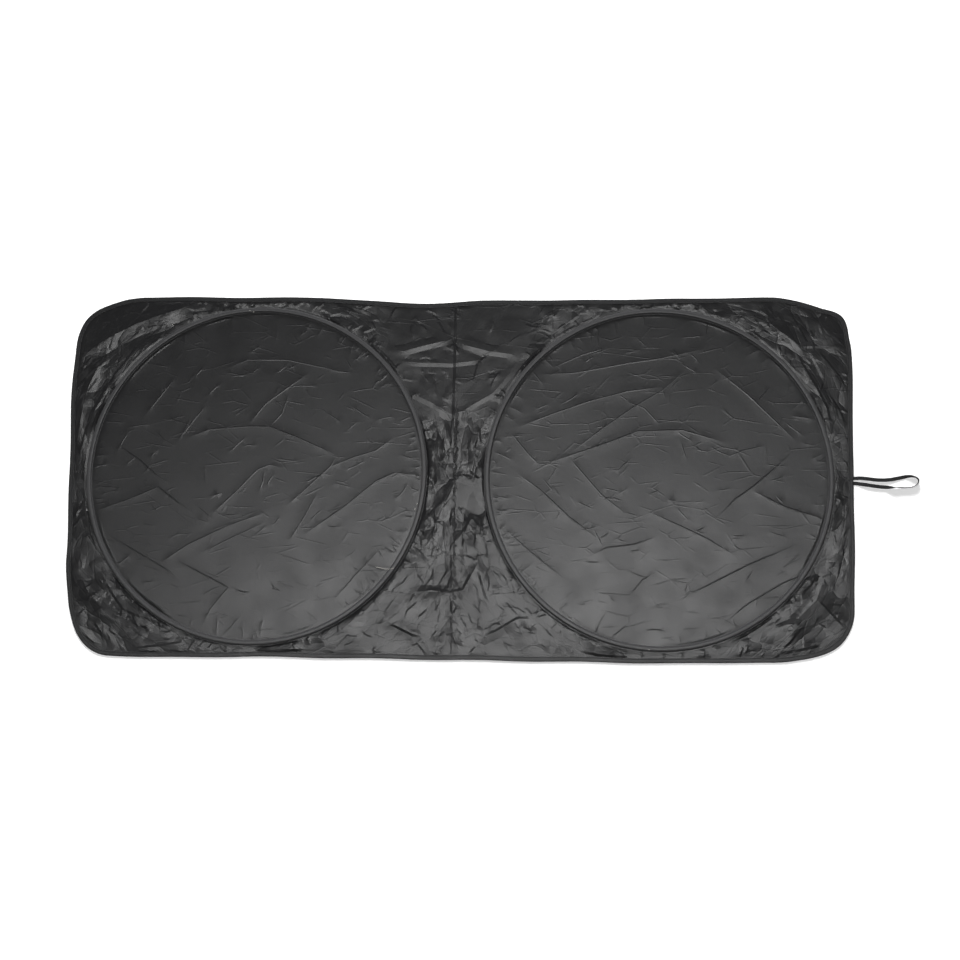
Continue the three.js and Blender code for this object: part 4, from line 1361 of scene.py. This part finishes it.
    def fill(
        self, kept: PlaceSet, step: float, draw: random.Random, wanted: Callable[[np.ndarray], np.ndarray]
    ) -> None:
        """Offers an even scatter of places over part of the sheet.

        Args:
            kept: The places so far.
            step: Distance between places.
            draw: Source of random numbers.
            wanted: Says which places lie in the part.
        """
        rows = math.ceil(self.sizes.half_width / step / ROW_STEP) + 2
        columns = math.ceil(self.sizes.half_length / step) + 2
        scatter = []
        for row in range(-rows, rows + 1):
            for column in range(-columns, columns + 1):
                x = column + (row % 2) / 2 + draw.uniform(-0.15, 0.15)
                y = row + draw.uniform(-0.15, 0.15)
                scatter.append((x * step, y * step * ROW_STEP))
        scatter = np.array(scatter)
        edge, _ = self.hem.stations(12)
        within = inside_line(scatter, edge) & wanted(scatter)
        kept.offer(scatter[within], min(0.72 * step, 5.9))

    def packed_levels(self, places: np.ndarray, tree: BVHTree) -> np.ndarray:
        """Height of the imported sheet's upper face over each place.

        Args:
            places: Corner places.
            tree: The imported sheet's upper surface.

        Returns:
            Heights in millimetres.
        """
        down = Vector((0, 0, -1))
        levels = []
        for x, y in places:
            hit = tree.ray_cast(Vector((x, y, 50)), down)[0]
            if hit is None:
                hit = tree.find_nearest(Vector((x, y, 1)))[0]
            levels.append(hit.z)
        return np.array(levels)

    def packed_share(self, x: np.ndarray, y: np.ndarray) -> np.ndarray:
        """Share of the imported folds' height that each place outside the hoops keeps.

        Args:
            x: Places along the sheet.
            y: Places across it.

        Returns:
            The shares.
        """
        crumpled = np.exp(-((x / 120) ** 2) - ((y + 30) / 190) ** 2)
        lower = ease((15 - y) / 30) * ease((y + 130) / 30)
        share = self.field_share + self.waist_share * crumpled * (1 - 0.6 * lower)
        return share * (1 - self.smoothing * self.calm(x, y))

    def heights(self, places: np.ndarray, tree: BVHTree, edge: np.ndarray) -> np.ndarray:
        """Height of the upper face over each place.

        Args:
            places: Corner places.
            tree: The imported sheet's upper surface.
            edge: The hem's places.

        Returns:
            Heights in millimetres.
        """
        base = self.packed_levels(places, tree)
        ring = self.hoop_distance(places)
        in_disc = ring < 0
        rim_share = ease((np.abs(ring) - self.sizes.rim_half) / self.rim_fade)
        hem_share = ease((distance_to_line(places, edge) - self.sizes.binding_width) / self.hem_fade)
        cloth = self.sizes.cloth
        x, y = places.T
        share = np.where(in_disc, self.disc_share, self.packed_share(x, y))
        level = cloth + np.where(in_disc, 0, (self.sizes.hem_level - self.sink) * rim_share)
        height = np.where(base > level, level + (base - level) * share, base)
        free = rim_share * hem_share
        for crease in (*self.pressed, *self.slopes):
            height += np.where(in_disc, crease.height(places) * rim_share, 0)
        raised = sum(fold.height(places) for fold in self.folds)
        height += np.where(in_disc, 0, free * raised)
        flat = self.smooth_facet(x, y) * free * ~in_disc
        middle_x, middle_y = self.facet_middle
        downhill = (y - middle_y) * 0.92 - (x - middle_x) * 0.38
        sloping = self.facet_level + self.facet_slope * downhill
        height += flat * self.smoothing * (sloping - height)
        swells = Facets(self.swell_reach, self.swell_step, Seed.SWELLS).height(places)
        height += np.where(in_disc, rim_share * swells * self.swell_rise, 0)
        return np.maximum(height, cloth)

    def mark_crumples(self, piece: bpy.types.Object, places: np.ndarray, edge: np.ndarray) -> None:
        """Tells the material where the cloth is crumpled, and which way its facets run.

        Args:
            piece: The sheet.
            places: Its upper corners' places in millimetres; the lower ones follow in the same order.
            edge: The hem's places.
        """
        x, y = places.T
        ring = self.hoop_distance(places)
        from_hem = distance_to_line(places, edge) - self.sizes.binding_width
        free = ease((ring - self.sizes.rim_half) / self.rim_fade) * ease(from_hem / self.hem_fade)
        lower = ease((-y - 110) / 60) * ease((230 - np.abs(x)) / 60)
        crumpled = 0.5 + 0.5 * self.narrow(x, y) - 0.42 * self.calm(x, y) - 0.2 * lower
        share = np.where(ring < 0, 0, free * crumpled)
        share = share * (1 - self.smoothing * self.smooth_facet(x, y))
        hoop = np.where(x < 0, self.sizes.hoop_x(Side.LEFT), self.sizes.hoop_x(Side.RIGHT))
        round_it = np.arctan2(y, (x - hoop) * np.where(x < 0, 1, -1)) * self.sizes.hoop_radius
        laid = np.column_stack([round_it * 0.5, ring + np.where(x < 0, 1000, 0), np.zeros(len(x))]) * MM
        marks = (("crumple", "FLOAT", "value", share), ("round_hoop", "FLOAT_VECTOR", "vector", laid))
        for name, kind, key, values in marks:
            layer = piece.data.attributes.new(name, kind, "POINT")
            layer.data.foreach_set(key, np.concatenate([values, values]).astype(np.float32).ravel())

    def make(self) -> bpy.types.Object:
        """Builds the sheet.

        Returns:
            The closed cloth, dressed.
        """
        tree, sharp = self.base_surface()
        self.add_pressed_lines()
        self.add_short_lines()
        self.add_folds()
        self.add_strip_crumples()
        self.add_gathers()
        self.add_rim_folds()
        places, edge = self.layout(sharp)
        loop = [(i, (i + 1) % len(edge)) for i in range(len(edge))]
        made, _, faces, _, _, _ = delaunay_2d_cdt([Vector(p) for p in places], loop, [], 0, 1e-4, True)
        corners = np.array([(p.x, p.y) for p in made])
        triangles = np.array([f for f in faces if len(f) == 3])
        triangles = triangles[inside_line(corners[triangles].mean(1), edge)]
        first, second, third = (corners[triangles[:, k]] for k in range(3))
        turned = np.cross(second - first, third - first)
        triangles[turned < 0] = triangles[turned < 0][:, ::-1]
        height = self.heights(corners, tree, edge)
        count = len(corners)
        top = np.column_stack([corners, height]) * MM
        bottom = np.column_stack([corners, height - self.sizes.cloth]) * MM
        sides = {(int(a), int(b)) for t in triangles for a, b in zip(t, np.roll(t, -1))}
        rim = [(a, b) for a, b in sides if (b, a) not in sides]
        walls = [quad for a, b in rim for quad in ((a, a + count, b + count), (a, b + count, b))]
        faces = [*triangles, *(triangles[:, ::-1] + count), *walls]
        piece = mesh_object("creased_sheet", np.concatenate([top, bottom]), faces)
        piece.data.materials.append(SHEET_FACE.make())
        piece.data.materials.append(SHEET_BACK.make())
        under = np.zeros(len(faces), dtype=int)
        under[len(triangles) : 2 * len(triangles)] = 1
        piece.data.polygons.foreach_set("material_index", under)
        piece.data.set_sharp_from_angle(angle=self.sharp_angle)
        self.mark_crumples(piece, corners, edge)
        log.info("sheet: %d triangles", len(faces))
        return piece


def inside_line(places: np.ndarray, line: np.ndarray) -> np.ndarray:
    """Whether each place lies inside a closed line.

    Args:
        places: Array of places.
        line: The line's points in order.

    Returns:
        One truth value for each place.
    """
    inside = np.zeros(len(places), dtype=bool)
    x, y = places.T
    for (ax, ay), (bx, by) in zip(line, np.roll(line, -1, axis=0)):
        if ay == by:
            continue
        crosses = (ay > y) != (by > y)
        inside ^= crosses & (x < ax + (bx - ax) * (y - ay) / (by - ay))
    return inside


def distance_to_line(places: np.ndarray, line: np.ndarray) -> np.ndarray:
    """Distance of each place from a closed line.

    Args:
        places: Array of places.
        line: The line's points in order.

    Returns:
        The distances.
    """
    best = np.full(len(places), np.inf)
    for a, b in zip(line, np.roll(line, -1, axis=0)):
        run = b - a
        to = places - a
        share = np.clip((to @ run) / (run @ run), 0, 1)
        gap = to - share[:, None] * run
        best = np.minimum(best, (gap**2).sum(1))
    return np.sqrt(best)


# Sewing


class Stitches:
    """Rows of lockstitch, made by geometry nodes along lines of edges."""

    # Range of the stitches' sizes, as shares of the one asked for
    shortest = 0.88
    longest = 1.08

    def __init__(self, pitch: float, length: float, thread: float, finish: bpy.types.Material) -> None:
        """Builds the node tree.

        Args:
            pitch: Distance from stitch to stitch in millimetres.
            length: Length of thread that shows in each.
            thread: Thickness of the thread.
            finish: The thread's material.
        """
        self.values = {"Pitch": pitch * MM, "Stitch Length": length * MM, "Thread": thread * MM}
        tree = bpy.data.node_groups.new("stitch_row", "GeometryNodeTree")
        face = tree.interface
        face.new_socket("Geometry", in_out="INPUT", socket_type="NodeSocketGeometry")
        for name in self.values:
            face.new_socket(name, in_out="INPUT", socket_type="NodeSocketFloat")
        face.new_socket("Geometry", in_out="OUTPUT", socket_type="NodeSocketGeometry")
        add = partial(add_node, tree)
        given = add("NodeGroupInput").outputs
        curve = add("GeometryNodeMeshToCurve", Mesh=given["Geometry"])
        even = add(
            "GeometryNodeResampleCurve", {"mode": "LENGTH"}, Curve=curve.outputs[0],
            Length=given["Pitch"],
        )
        ahead = add("GeometryNodeInputTangent")
        turn = add("FunctionNodeAlignRotationToVector", {"axis": "X"}, Vector=ahead.outputs[0])
        jitter = add(
            "FunctionNodeRandomValue", {"data_type": "FLOAT"}, Seed=5, i2=self.shortest, i3=self.longest
        )
        ball = add("GeometryNodeMeshUVSphere", Segments=6, Rings=4, Radius=0.5)
        size = add("ShaderNodeCombineXYZ", X=given["Stitch Length"], Y=given["Thread"], Z=given["Thread"])
        varied = add(
            "ShaderNodeVectorMath", {"operation": "SCALE"}, i0=size.outputs[0], Scale=jitter.outputs[1]
        )
        placed = add(
            "GeometryNodeInstanceOnPoints", Points=even.outputs[0], Instance=ball.outputs[0],
            Rotation=turn.outputs[0], Scale=varied.outputs[0],
        )
        real = add("GeometryNodeRealizeInstances", Geometry=placed.outputs[0])
        dressed = add("GeometryNodeSetMaterial", Geometry=real.outputs[0], Material=finish)
        add("NodeGroupOutput", Geometry=dressed.outputs[0])
        self.tree = tree
        self.finish = finish

    def sew(self, name: str, lines: Sequence[np.ndarray], closed: bool) -> bpy.types.Object:
        """Sews along each line.

        Args:
            name: The piece's name.
            lines: Arrays of places in metres.
            closed: Whether each line ends where it starts.

        Returns:
            All the stitches as one mesh.
        """
        vertices, edges = [], []
        for line in lines:
            start = len(vertices)
            vertices.extend(map(tuple, line))
            count = len(line)
            edges += [(start + i, start + (i + 1) % count) for i in range(count if closed else count - 1)]
        guide = bpy.data.meshes.new(name + "_guide")
        guide.from_pydata(vertices, edges, [])
        piece = new_object(name, guide)
        modifier = piece.modifiers.new("stitches", "NODES")
        modifier.node_group = self.tree
        for item in self.tree.interface.items_tree:
            if item.in_out == "INPUT" and item.name in self.values:
                modifier[item.identifier] = self.values[item.name]
        bpy.context.view_layer.update()
        evaluated = piece.evaluated_get(bpy.context.evaluated_depsgraph_get())
        mesh = bpy.data.meshes.new_from_object(evaluated)
        piece.modifiers.clear()
        piece.data = mesh
        shade_smooth(mesh)
        log.info("%s: %d faces", name, len(mesh.polygons))
        return piece


@dataclass
class Binding:
    """The tape folded round the hem, and its seam."""

    sizes: ShadeSizes
    hem: Hem
    step: float = 5.0
    seam_depth: float = 6.6

    def make(self) -> bpy.types.Object:
        """Builds the tape as one folded strip.

        Returns:
            The binding, dressed.
        """
        s = self.sizes
        edge, out = self.hem.stations(self.step)
        wall = s.clearance + s.binding_tape
        inner = s.hem_level + s.cloth + s.clearance
        top = s.hem_top
        # Depth inwards and height of each corner of the folded tape
        outline = np.array(
            [
                (s.binding_width, 0.0),
                (s.binding_width, s.binding_tape),
                (-s.clearance + 0.1, s.binding_tape),
                (-s.clearance, s.binding_tape + 0.2),
                (-s.clearance, inner - 0.2),
                (-s.clearance + 0.1, inner),
                (s.binding_width, inner),
                (s.binding_width + 0.05, inner + 0.25),
                (s.binding_width - 0.25, top - 0.05),
                (s.binding_width - 1.1, top),
                (self.seam_depth, top - 0.14),
                (4.6, top),
                (1.6, top),
                (0.1, top - 0.12),
                (-wall + 0.12, top - 0.5),
                (-wall, top * 0.5),
                (-wall + 0.12, 0.45),
                (0.1, 0.08),
                (1.6, 0.0),
            ]
        )
        lift = s.strap_lift(*edge.T)
        places = np.arange(len(edge)) * self.step
        gather = 0.07 * np.sin(places / 9.1) + 0.06 * np.sin(places / 5.3 + 2) + 0.05 * np.sin(places / 23)
        sections = np.zeros((len(edge), len(outline), 3))
        for i, (depth, height) in enumerate(outline):
            upper = 1.0 if height > inner else 0.0
            wavy = upper if depth > s.binding_width - 2 else 0.0
            inward = 0.25 * np.sin(places / 31 + 1) * wavy
            sections[:, i, :2] = edge - out * (depth + inward)[:, None]
            sections[:, i, 2] = height + lift + gather * upper * (0.4 if depth < 1 else 1.0)
        return dress(sweep("folded_binding", sections * MM, True), BINDING_CLOTH)

    def seams(self, stitches: Stitches) -> bpy.types.Object:
        """Sews the binding down near its inner edge, above and below.

        Args:
            stitches: The stitch maker.

        Returns:
            The seam's stitches.
        """
        s = self.sizes
        edge, out = self.hem.stations(self.step)
        lift = s.strap_lift(*edge.T)
        line = edge - out * self.seam_depth
        upper = np.column_stack([line, s.hem_top - 0.04 + lift]) * MM
        lower = np.column_stack([line, 0.12 + lift]) * MM
        return stitches.sew("binding_seam", [upper, lower], True)


@dataclass
class Casing:
    """One ring of tape over a hoop, with its two seams and the lap where its ends meet."""

    sizes: ShadeSizes
    side: Side
    lap_angle: float
    lap_length: float = 26.0
    count: int = 512
    plateau_half: float = 2.9  # half the flat top's width
    tape: float = 0.45
    foot: float = 0.42  # height of the tape's underside where it is sewn down
    lap_rise: float = 0.38
    seam_offset: float = 4.3

    @property
    def angles(self) -> np.ndarray:
        """Angles of the ring's sections, in radians."""
        return np.arange(self.count) / self.count * TURN

    def make(self) -> bpy.types.Object:
        """Builds the ring.

        Returns:
            The casing, dressed.
        """
        s = self.sizes
        _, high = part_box(f"hoop_casing_{self.side.value}")
        roof = high.z / MM - self.tape
        edge = s.casing_width / 2
        a, foot, tape = self.plateau_half, self.foot, self.tape
        inner = [(a + 0.9, foot), (a + 0.5, roof * 0.5), (a, roof - 0.45), (a * 0.5, roof - 0.1)]
        outer = [
            (edge, foot),
            (edge + 0.05, foot + tape),
            (edge - 0.9, foot + tape + 0.05),
            (a + 1.1 + tape, foot + tape + 0.2),
            (a + 0.75 + tape, roof * 0.5),
            (a + 0.3 + tape, roof - 0.4),
            (a - 0.2, roof + tape * 0.5),
            (a * 0.5, roof + tape - 0.05),
        ]
        half = [*reversed(inner), *outer]
        outline = np.array([*half, *[(-x, z) for x, z in reversed(half)]])
        angles = self.angles
        along = angles * s.hoop_radius
        gather = 0.5 * np.sin(along / 4.1 + 2 * np.sin(along / 37)) + 0.5 * np.sin(along / 7.7 + 1.3)
        to_lap = (angles - math.radians(self.lap_angle) + math.pi) % TURN - math.pi
        lap = (np.abs(to_lap) * s.hoop_radius < self.lap_length / 2).astype(float) * self.lap_rise
        sections = np.zeros((self.count, len(outline), 3))
        for i, (offset, height) in enumerate(outline):
            outside = 1.0 if 5 <= i < len(outline) - 5 else 0.0
            flank = 1.0 if abs(offset) > 2 else 0.25
            radius = s.hoop_radius + offset * (1 + outside * 0.03 * gather * (abs(offset) > 5))
            rise = outside * (0.1 * gather * flank + lap)
            sections[:, i, 0] = s.hoop_x(self.side) + radius * np.cos(angles)
            sections[:, i, 1] = radius * np.sin(angles)
            sections[:, i, 2] = height + rise
        return dress(sweep(f"casing_tape_{self.side.value}", sections * MM, True), CASING_CLOTH)

    def seams(self, stitches: Stitches) -> bpy.types.Object:
        """Sews both edges of the tape down.

        Args:
            stitches: The stitch maker.

        Returns:
            The stitches of both seams.
        """
        s = self.sizes
        angles = self.angles
        lines = []
        for offset in (-self.seam_offset, self.seam_offset):
            radius = s.hoop_radius + offset
            x = s.hoop_x(self.side) + radius * np.cos(angles)
            level = np.full(self.count, self.foot + self.tape + 0.1)
            lines.append(np.column_stack([x, radius * np.sin(angles), level]) * MM)
        return stitches.sew(f"casing_seam_{self.side.value}", lines, True)


@dataclass
class ElasticLoop:
    """The thin elastic loop: flat under the hem, on its edge towards its far end."""

    sizes: ShadeSizes
    route: tuple = (
        (3.6, 4.6), (14, 5), (27, 3.6), (41, 1.9), (56, 1.5), (70, 2.8), (84, 5.6), (98, 8.4), (108, 9),
        (117, 6.8), (121, 2), (119.6, -3.4), (114.6, -8.6), (107, -11.6), (97, -12.8), (84, -12.6),
        (70, -12.4), (55, -11.8), (41, -10.4), (27, -8.4), (13, -6.2), (3.6, -5),
    )
    steps: int = 220
    spring: float = 2.2  # how far the elastic springs clear of the ground on its way out
    tack_rows: int = 5
    tack_pitch: float = 1.1
    tack_half: float = 3.2

    def centre_line(self) -> np.ndarray:
        """Even places along the loop's middle.

        Returns:
            Array of places in millimetres.
        """
        s = self.sizes
        ends = [(-s.strap_tail, self.route[0][1]), *self.route, (-s.strap_tail, self.route[-1][1])]
        knots = np.array(ends) + (s.half_length, s.strap_y)
        found = []
        for i in range(len(knots) - 1):
            p0, p1, p2 = knots[max(i - 1, 0)], knots[i], knots[i + 1]
            p3 = knots[min(i + 2, len(knots) - 1)]
            for t in np.linspace(0, 1, 40, endpoint=False):
                square = 2 * p0 - 5 * p1 + 4 * p2 - p3
                cubic = 3 * p1 - p0 - 3 * p2 + p3
                found.append((2 * p1 + (p2 - p0) * t + square * t**2 + cubic * t**3) / 2)
        found = np.array([*found, knots[-1]])
        gaps = np.hypot(*np.diff(found, axis=0).T)
        travelled = np.concatenate([[0], np.cumsum(gaps)])
        even = np.linspace(0, travelled[-1], self.steps + 1)
        return np.column_stack([np.interp(even, travelled, found[:, k]) for k in (0, 1)])

    def make(self) -> bpy.types.Object:
        """Builds the strap.

        Returns:
            The loop, dressed.
        """
        s = self.sizes
        line = self.centre_line()
        ahead = np.gradient(line, axis=0)
        ahead /= np.hypot(*ahead.T)[:, None]
        reach = line[:, 0].max() - s.half_length
        out = (line[:, 0] - s.half_length) / reach
        tip = int(np.argmax(out))
        first = np.arange(len(line)) < tip
        turned = ease(np.where(first, (out - 0.7) / 0.3, (out - 0.46) / 0.24)) * TURN / 4
        across, upright = np.cos(turned), np.sin(turned)
        w, t = s.strap_width / 2, s.strap_thickness / 2
        lift = self.spring * ease((out - 0.03) / 0.2) * ease((0.8 - out) / 0.4)
        middle = w * upright + t * across + lift
        # Five knitted ribs run along the strap, with a rounded selvedge each side
        ribs = [(-1, 0), (-0.93, 0.75)]
        rib = ((-0.1, 1.0), (0.1, 1.0), (0.2, 0.8))
        ribs += [(-0.8 + 0.4 * k + offset, rise) for k in range(5) for offset, rise in rib][:-1]
        ribs += [(0.93, 0.75), (1, 0)]
        outline = ribs + [(x, -z) for x, z in reversed(ribs[1:-1])]
        sections = np.zeros((len(line), len(outline), 3))
        for i, (u, v) in enumerate(outline):
            side = u * w * across - v * t * upright
            sections[:, i, 0] = line[:, 0] - ahead[:, 1] * side
            sections[:, i, 1] = line[:, 1] + ahead[:, 0] * side
            sections[:, i, 2] = middle + u * w * upright + v * t * across
        return dress(sweep("elastic_strap", sections * MM, False), ELASTIC_CLOTH)

    def tacks(self, stitches: Stitches) -> bpy.types.Object:
        """Sews the loop's tails down with two close bars on the binding.

        Args:
            stitches: The stitch maker.

        Returns:
            The bars of stitches.
        """
        s = self.sizes
        top = s.hem_top + s.strap_thickness + s.clearance
        lines = []
        for tail_y in (self.route[0][1], self.route[-1][1]):
            y = s.strap_y + tail_y
            for row in range(self.tack_rows):
                x = s.half_length - 6.2 + row * self.tack_pitch
                ends = np.array([(x, y - self.tack_half, top + 0.12), (x, y + self.tack_half, top + 0.12)])
                lines.append(ends * MM)
        return stitches.sew("loop_tacks", lines, False)


@dataclass
class LooseThreads:
    """Pale thread ends left by the sewer: short frays on the casings and one longer end."""

    thickness: float = 0.55
    steps: int = 14
    corners: int = 6
    # Points of each end in millimetres
    ends: tuple = (
        ((-113, -181, 5.9), (-121, -183, 5.4), (-130, -182.6, 1.6), (-139, -180, 1.2), (-147, -179, 1.3)),
        ((-70.6, -57, 5.9), (-72.2, -58.6, 6.5), (-73.4, -58.2, 6.0)),
        ((-75, -66.4, 5.9), (-76.4, -68.4, 6.4), (-75.4, -69.8, 5.9)),
        ((-64.6, -64.6, 1.6), (-63.2, -66.2, 2.2), (-64.4, -67.8, 1.6)),
        ((-561, 291.8, 5.9), (-562.6, 293, 6.4), (-564.2, 292.4, 5.9)),
        ((-409.4, 321.4, 5.9), (-411, 322.4, 6.4), (-412.6, 321.8, 5.9)),
        ((-401.6, 320.2, 5.9), (-403.2, 319.4, 6.3), (-404.6, 320, 5.9)),
        ((365.2, -326, 5.9), (366.8, -327, 6.4), (367.8, -326.4, 5.9)),
    )

    def make(self) -> bpy.types.Object:
        """Builds the ends as closed tubes in one piece.

        Returns:
            The thread ends, dressed.
        """
        tubes = bmesh.new()
        for number, points in enumerate(self.ends):
            knots = np.array(points)
            shares = np.linspace(0, len(knots) - 1, self.steps)
            line = np.column_stack([np.interp(shares, range(len(knots)), knots[:, k]) for k in range(3)])
            for _ in range(3):
                line[1:-1] = (line[:-2] + line[2:] + 2 * line[1:-1]) / 4
            ahead = np.gradient(line, axis=0)
            across = np.column_stack([-ahead[:, 1], ahead[:, 0], np.zeros(len(line))])
            across /= np.linalg.norm(across, axis=1, keepdims=True)
            up = np.cross(ahead / np.linalg.norm(ahead, axis=1, keepdims=True), across)
            turns = np.arange(self.corners) / self.corners * TURN
            ways = [across * math.cos(t) + up * math.sin(t) for t in turns]
            sections = np.stack([line + way * self.thickness / 2 for way in ways], 1)
            tube = sweep(f"thread_end_{number}", sections * MM, False)
            tubes.from_mesh(tube.data)
            bpy.data.objects.remove(tube)
        mesh = bpy.data.meshes.new("loose_threads")
        tubes.to_mesh(mesh)
        tubes.free()
        shade_smooth(mesh)
        return dress(new_object("loose_threads", mesh), LOOSE_THREAD)


# Studio


@dataclass(frozen=True)
class Lamp:
    """One soft rectangular lamp, its places and sizes in metres."""

    name: str
    place: tuple[float, float, float]
    aim: tuple[float, float, float]
    size: tuple[float, float]
    watts: float
    turn: float = 0.0  # about its own beam, in degrees
    glossy: bool = True  # whether the pieces mirror it

    def hang(self) -> None:
        """Hangs the lamp in its place."""
        light = bpy.data.lights.new(self.name, "AREA")
        light.shape = "RECTANGLE"
        light.size, light.size_y = self.size
        light.energy = self.watts
        lamp = new_object(self.name, light)
        lamp.location = self.place
        lamp.visible_glossy = self.glossy
        facing = (Vector(self.aim) - Vector(self.place)).to_track_quat("-Z", "Y").to_matrix()
        lamp.rotation_euler = (facing @ Matrix.Rotation(math.radians(self.turn), 3, "Z")).to_euler()


@dataclass(frozen=True)
class Studio:
    """Pale floor, soft lamps and the camera, at the photograph's viewing angle."""

    elevation: float = 79.78
    azimuth: float = 15.89
    roll: float = 1.05
    distance: float = 2.5437
    target: tuple[float, float, float] = (0.0469, -0.0095, 0.0)
    lens: float = 50.0
    floor_half: float = 4.0
    floor_drop: float = 0.2 * MM
    lamps: tuple[Lamp, ...] = (
        Lamp("overhead_softbox", (0.06, -0.135, 2.6), (0.06, -0.135, 0.0), (2.34, 0.32), 32, turn=5.5),
        Lamp("far_fill", (-0.2, 3.45, 1.45), (0.0, 0.0, 0.0), (1.6, 0.9), 300, glossy=False),
    )

    def camera(self) -> None:
        """Puts the camera in place."""
        el, az, roll = (math.radians(a) for a in (self.elevation, self.azimuth, self.roll))
        back = Vector((math.sin(az) * math.cos(el), -math.cos(az) * math.cos(el), math.sin(el)))
        right = (-back).cross(Vector((0, 1, 0))).normalized()
        up = right.cross(-back)
        right, up = right * math.cos(roll) + up * math.sin(roll), up * math.cos(roll) - right * math.sin(roll)
        lens = bpy.data.cameras.new("view")
        lens.lens = self.lens
        lens.sensor_width = 36.0
        lens.clip_end = 50.0
        view = new_object("view", lens)
        turn = Matrix((right, up, back)).transposed().to_4x4()
        view.matrix_world = Matrix.Translation(Vector(self.target) + back * self.distance) @ turn
        bpy.context.scene.camera = view

    def floor(self) -> bpy.types.Object:
        """Makes the pale floor, which shows white to the camera and keeps the shadow.

        Returns:
            The floor.
        """
        outline = ((-1, -1), (1, -1), (1, 1), (-1, 1))
        corners = [(x * self.floor_half, y * self.floor_half, -self.floor_drop) for x, y in outline]
        floor = mesh_object("pale_floor", corners, [(0, 1, 2, 3)], smooth=False)
        material, add, place = new_finish("matt_white_card")
        card = add("ShaderNodeBsdfDiffuse", Color=linear_colour("f7f7f7"))
        away = add("ShaderNodeVectorMath", {"operation": "LENGTH"}, i0=place)
        lift = add(
            "ShaderNodeMapRange", {"interpolation_type": "SMOOTHSTEP"}, Value=away.outputs["Value"],
            From_Max=3.0, To_Min=0.06, To_Max=1.0,
        )
        glow = add("ShaderNodeEmission", Color=(1, 1, 1, 1), Strength=lift.outputs[0])
        both = add("ShaderNodeAddShader", i0=card.outputs[0], i1=glow.outputs[0])
        path = add("ShaderNodeLightPath")
        seen = add(
            "ShaderNodeMath", {"operation": "MAXIMUM"}, i0=path.outputs["Is Camera Ray"],
            i1=path.outputs["Is Glossy Ray"],
        )
        mixed = add("ShaderNodeMixShader", i0=seen.outputs[0], i1=card.outputs[0], i2=both.outputs[0])
        add("ShaderNodeOutputMaterial", Surface=mixed.outputs[0])
        floor.data.materials.append(material)
        return floor

    def world(self) -> None:
        """Makes pale walls under a dim ceiling, and shows them white to the camera."""
        world = bpy.data.worlds.new("studio")
        world.use_nodes = True
        tree = world.node_tree
        tree.nodes.clear()
        add = partial(add_node, tree)
        path = add("ShaderNodeLightPath")
        ahead = add("ShaderNodeTexCoord").outputs["Generated"]
        height = add("ShaderNodeSeparateXYZ", Vector=ahead).outputs["Z"]
        walls = add(
            "ShaderNodeMapRange", {"interpolation_type": "SMOOTHSTEP"}, Value=height, From_Max=0.55,
            To_Min=0.75, To_Max=0.045,
        )
        dim = add("ShaderNodeBackground", Color=(1, 1, 1, 1), Strength=walls.outputs[0])
        white = add("ShaderNodeBackground", Color=(1, 1, 1, 1), Strength=1.0)
        mixed = add(
            "ShaderNodeMixShader", i0=path.outputs["Is Camera Ray"], i1=dim.outputs[0],
            i2=white.outputs[0],
        )
        add("ShaderNodeOutputWorld", Surface=mixed.outputs[0])
        bpy.context.scene.world = world

    def build(self) -> None:
        """Sets up floor, lamps, world and camera."""
        bpy.context.scene.view_settings.view_transform = "Standard"
        self.floor()
        self.world()
        for lamp in self.lamps:
            lamp.hang()
        self.camera()


def dress_steel() -> None:
    """Gives the hidden strips and sleeves, kept as packed, their steel."""
    strip, sleeve = STRIP_STEEL.make(), SLEEVE_STEEL.make()
    for side in Side:
        for name, finish in ((f"hoop_strip_{side.value}", strip), (f"strip_sleeve_{side.value}", sleeve)):
            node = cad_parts[name]
            node.data.materials.clear()
            node.data.materials.append(finish)
            log.info("steel: %s", name)


def main() -> None:
    """Builds the studio, then each piece in order, and hangs the new ones under the root body."""
    studio = Studio()
    studio.build()
    sizes = ShadeSizes()
    hem = Hem(sizes)
    stitches = Stitches(4.0, 3.1, 0.42, SEAM_THREAD.make())
    tack_stitches = Stitches(1.3, 1.5, 0.42, stitches.finish)

    sheet = ShadeSheet(sizes, hem).make()
    binding = Binding(sizes, hem)
    tape = binding.make()
    seam = binding.seams(stitches)
    loop = ElasticLoop(sizes)
    strap = loop.make()
    tacks = loop.tacks(tack_stitches)
    thread = LooseThreads().make()

    on_sheet = [tape, seam, strap, tacks, thread]
    for side, lap_angle in ((Side.LEFT, -24.0), (Side.RIGHT, -31.0)):
        casing = Casing(sizes, side, lap_angle)
        ring, ring_seam = casing.make(), casing.seams(stitches)
        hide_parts(f"hoop_casing_{side.value}")
        inside = [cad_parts[f"{name}_{side.value}"] for name in ("hoop_strip", "strip_sleeve")]
        on_sheet += [ring, ring_seam, *inside]
    for piece in (sheet, *on_sheet):
        if piece.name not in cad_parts:
            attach(piece, "root")
    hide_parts("shade_sheet")
    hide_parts("edge_binding")
    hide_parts("elastic_loop")
    dress_steel()
    flat = (2 * sizes.half_width * MM, 2 * sizes.half_length * MM)


if __name__ == "__main__":
    main()
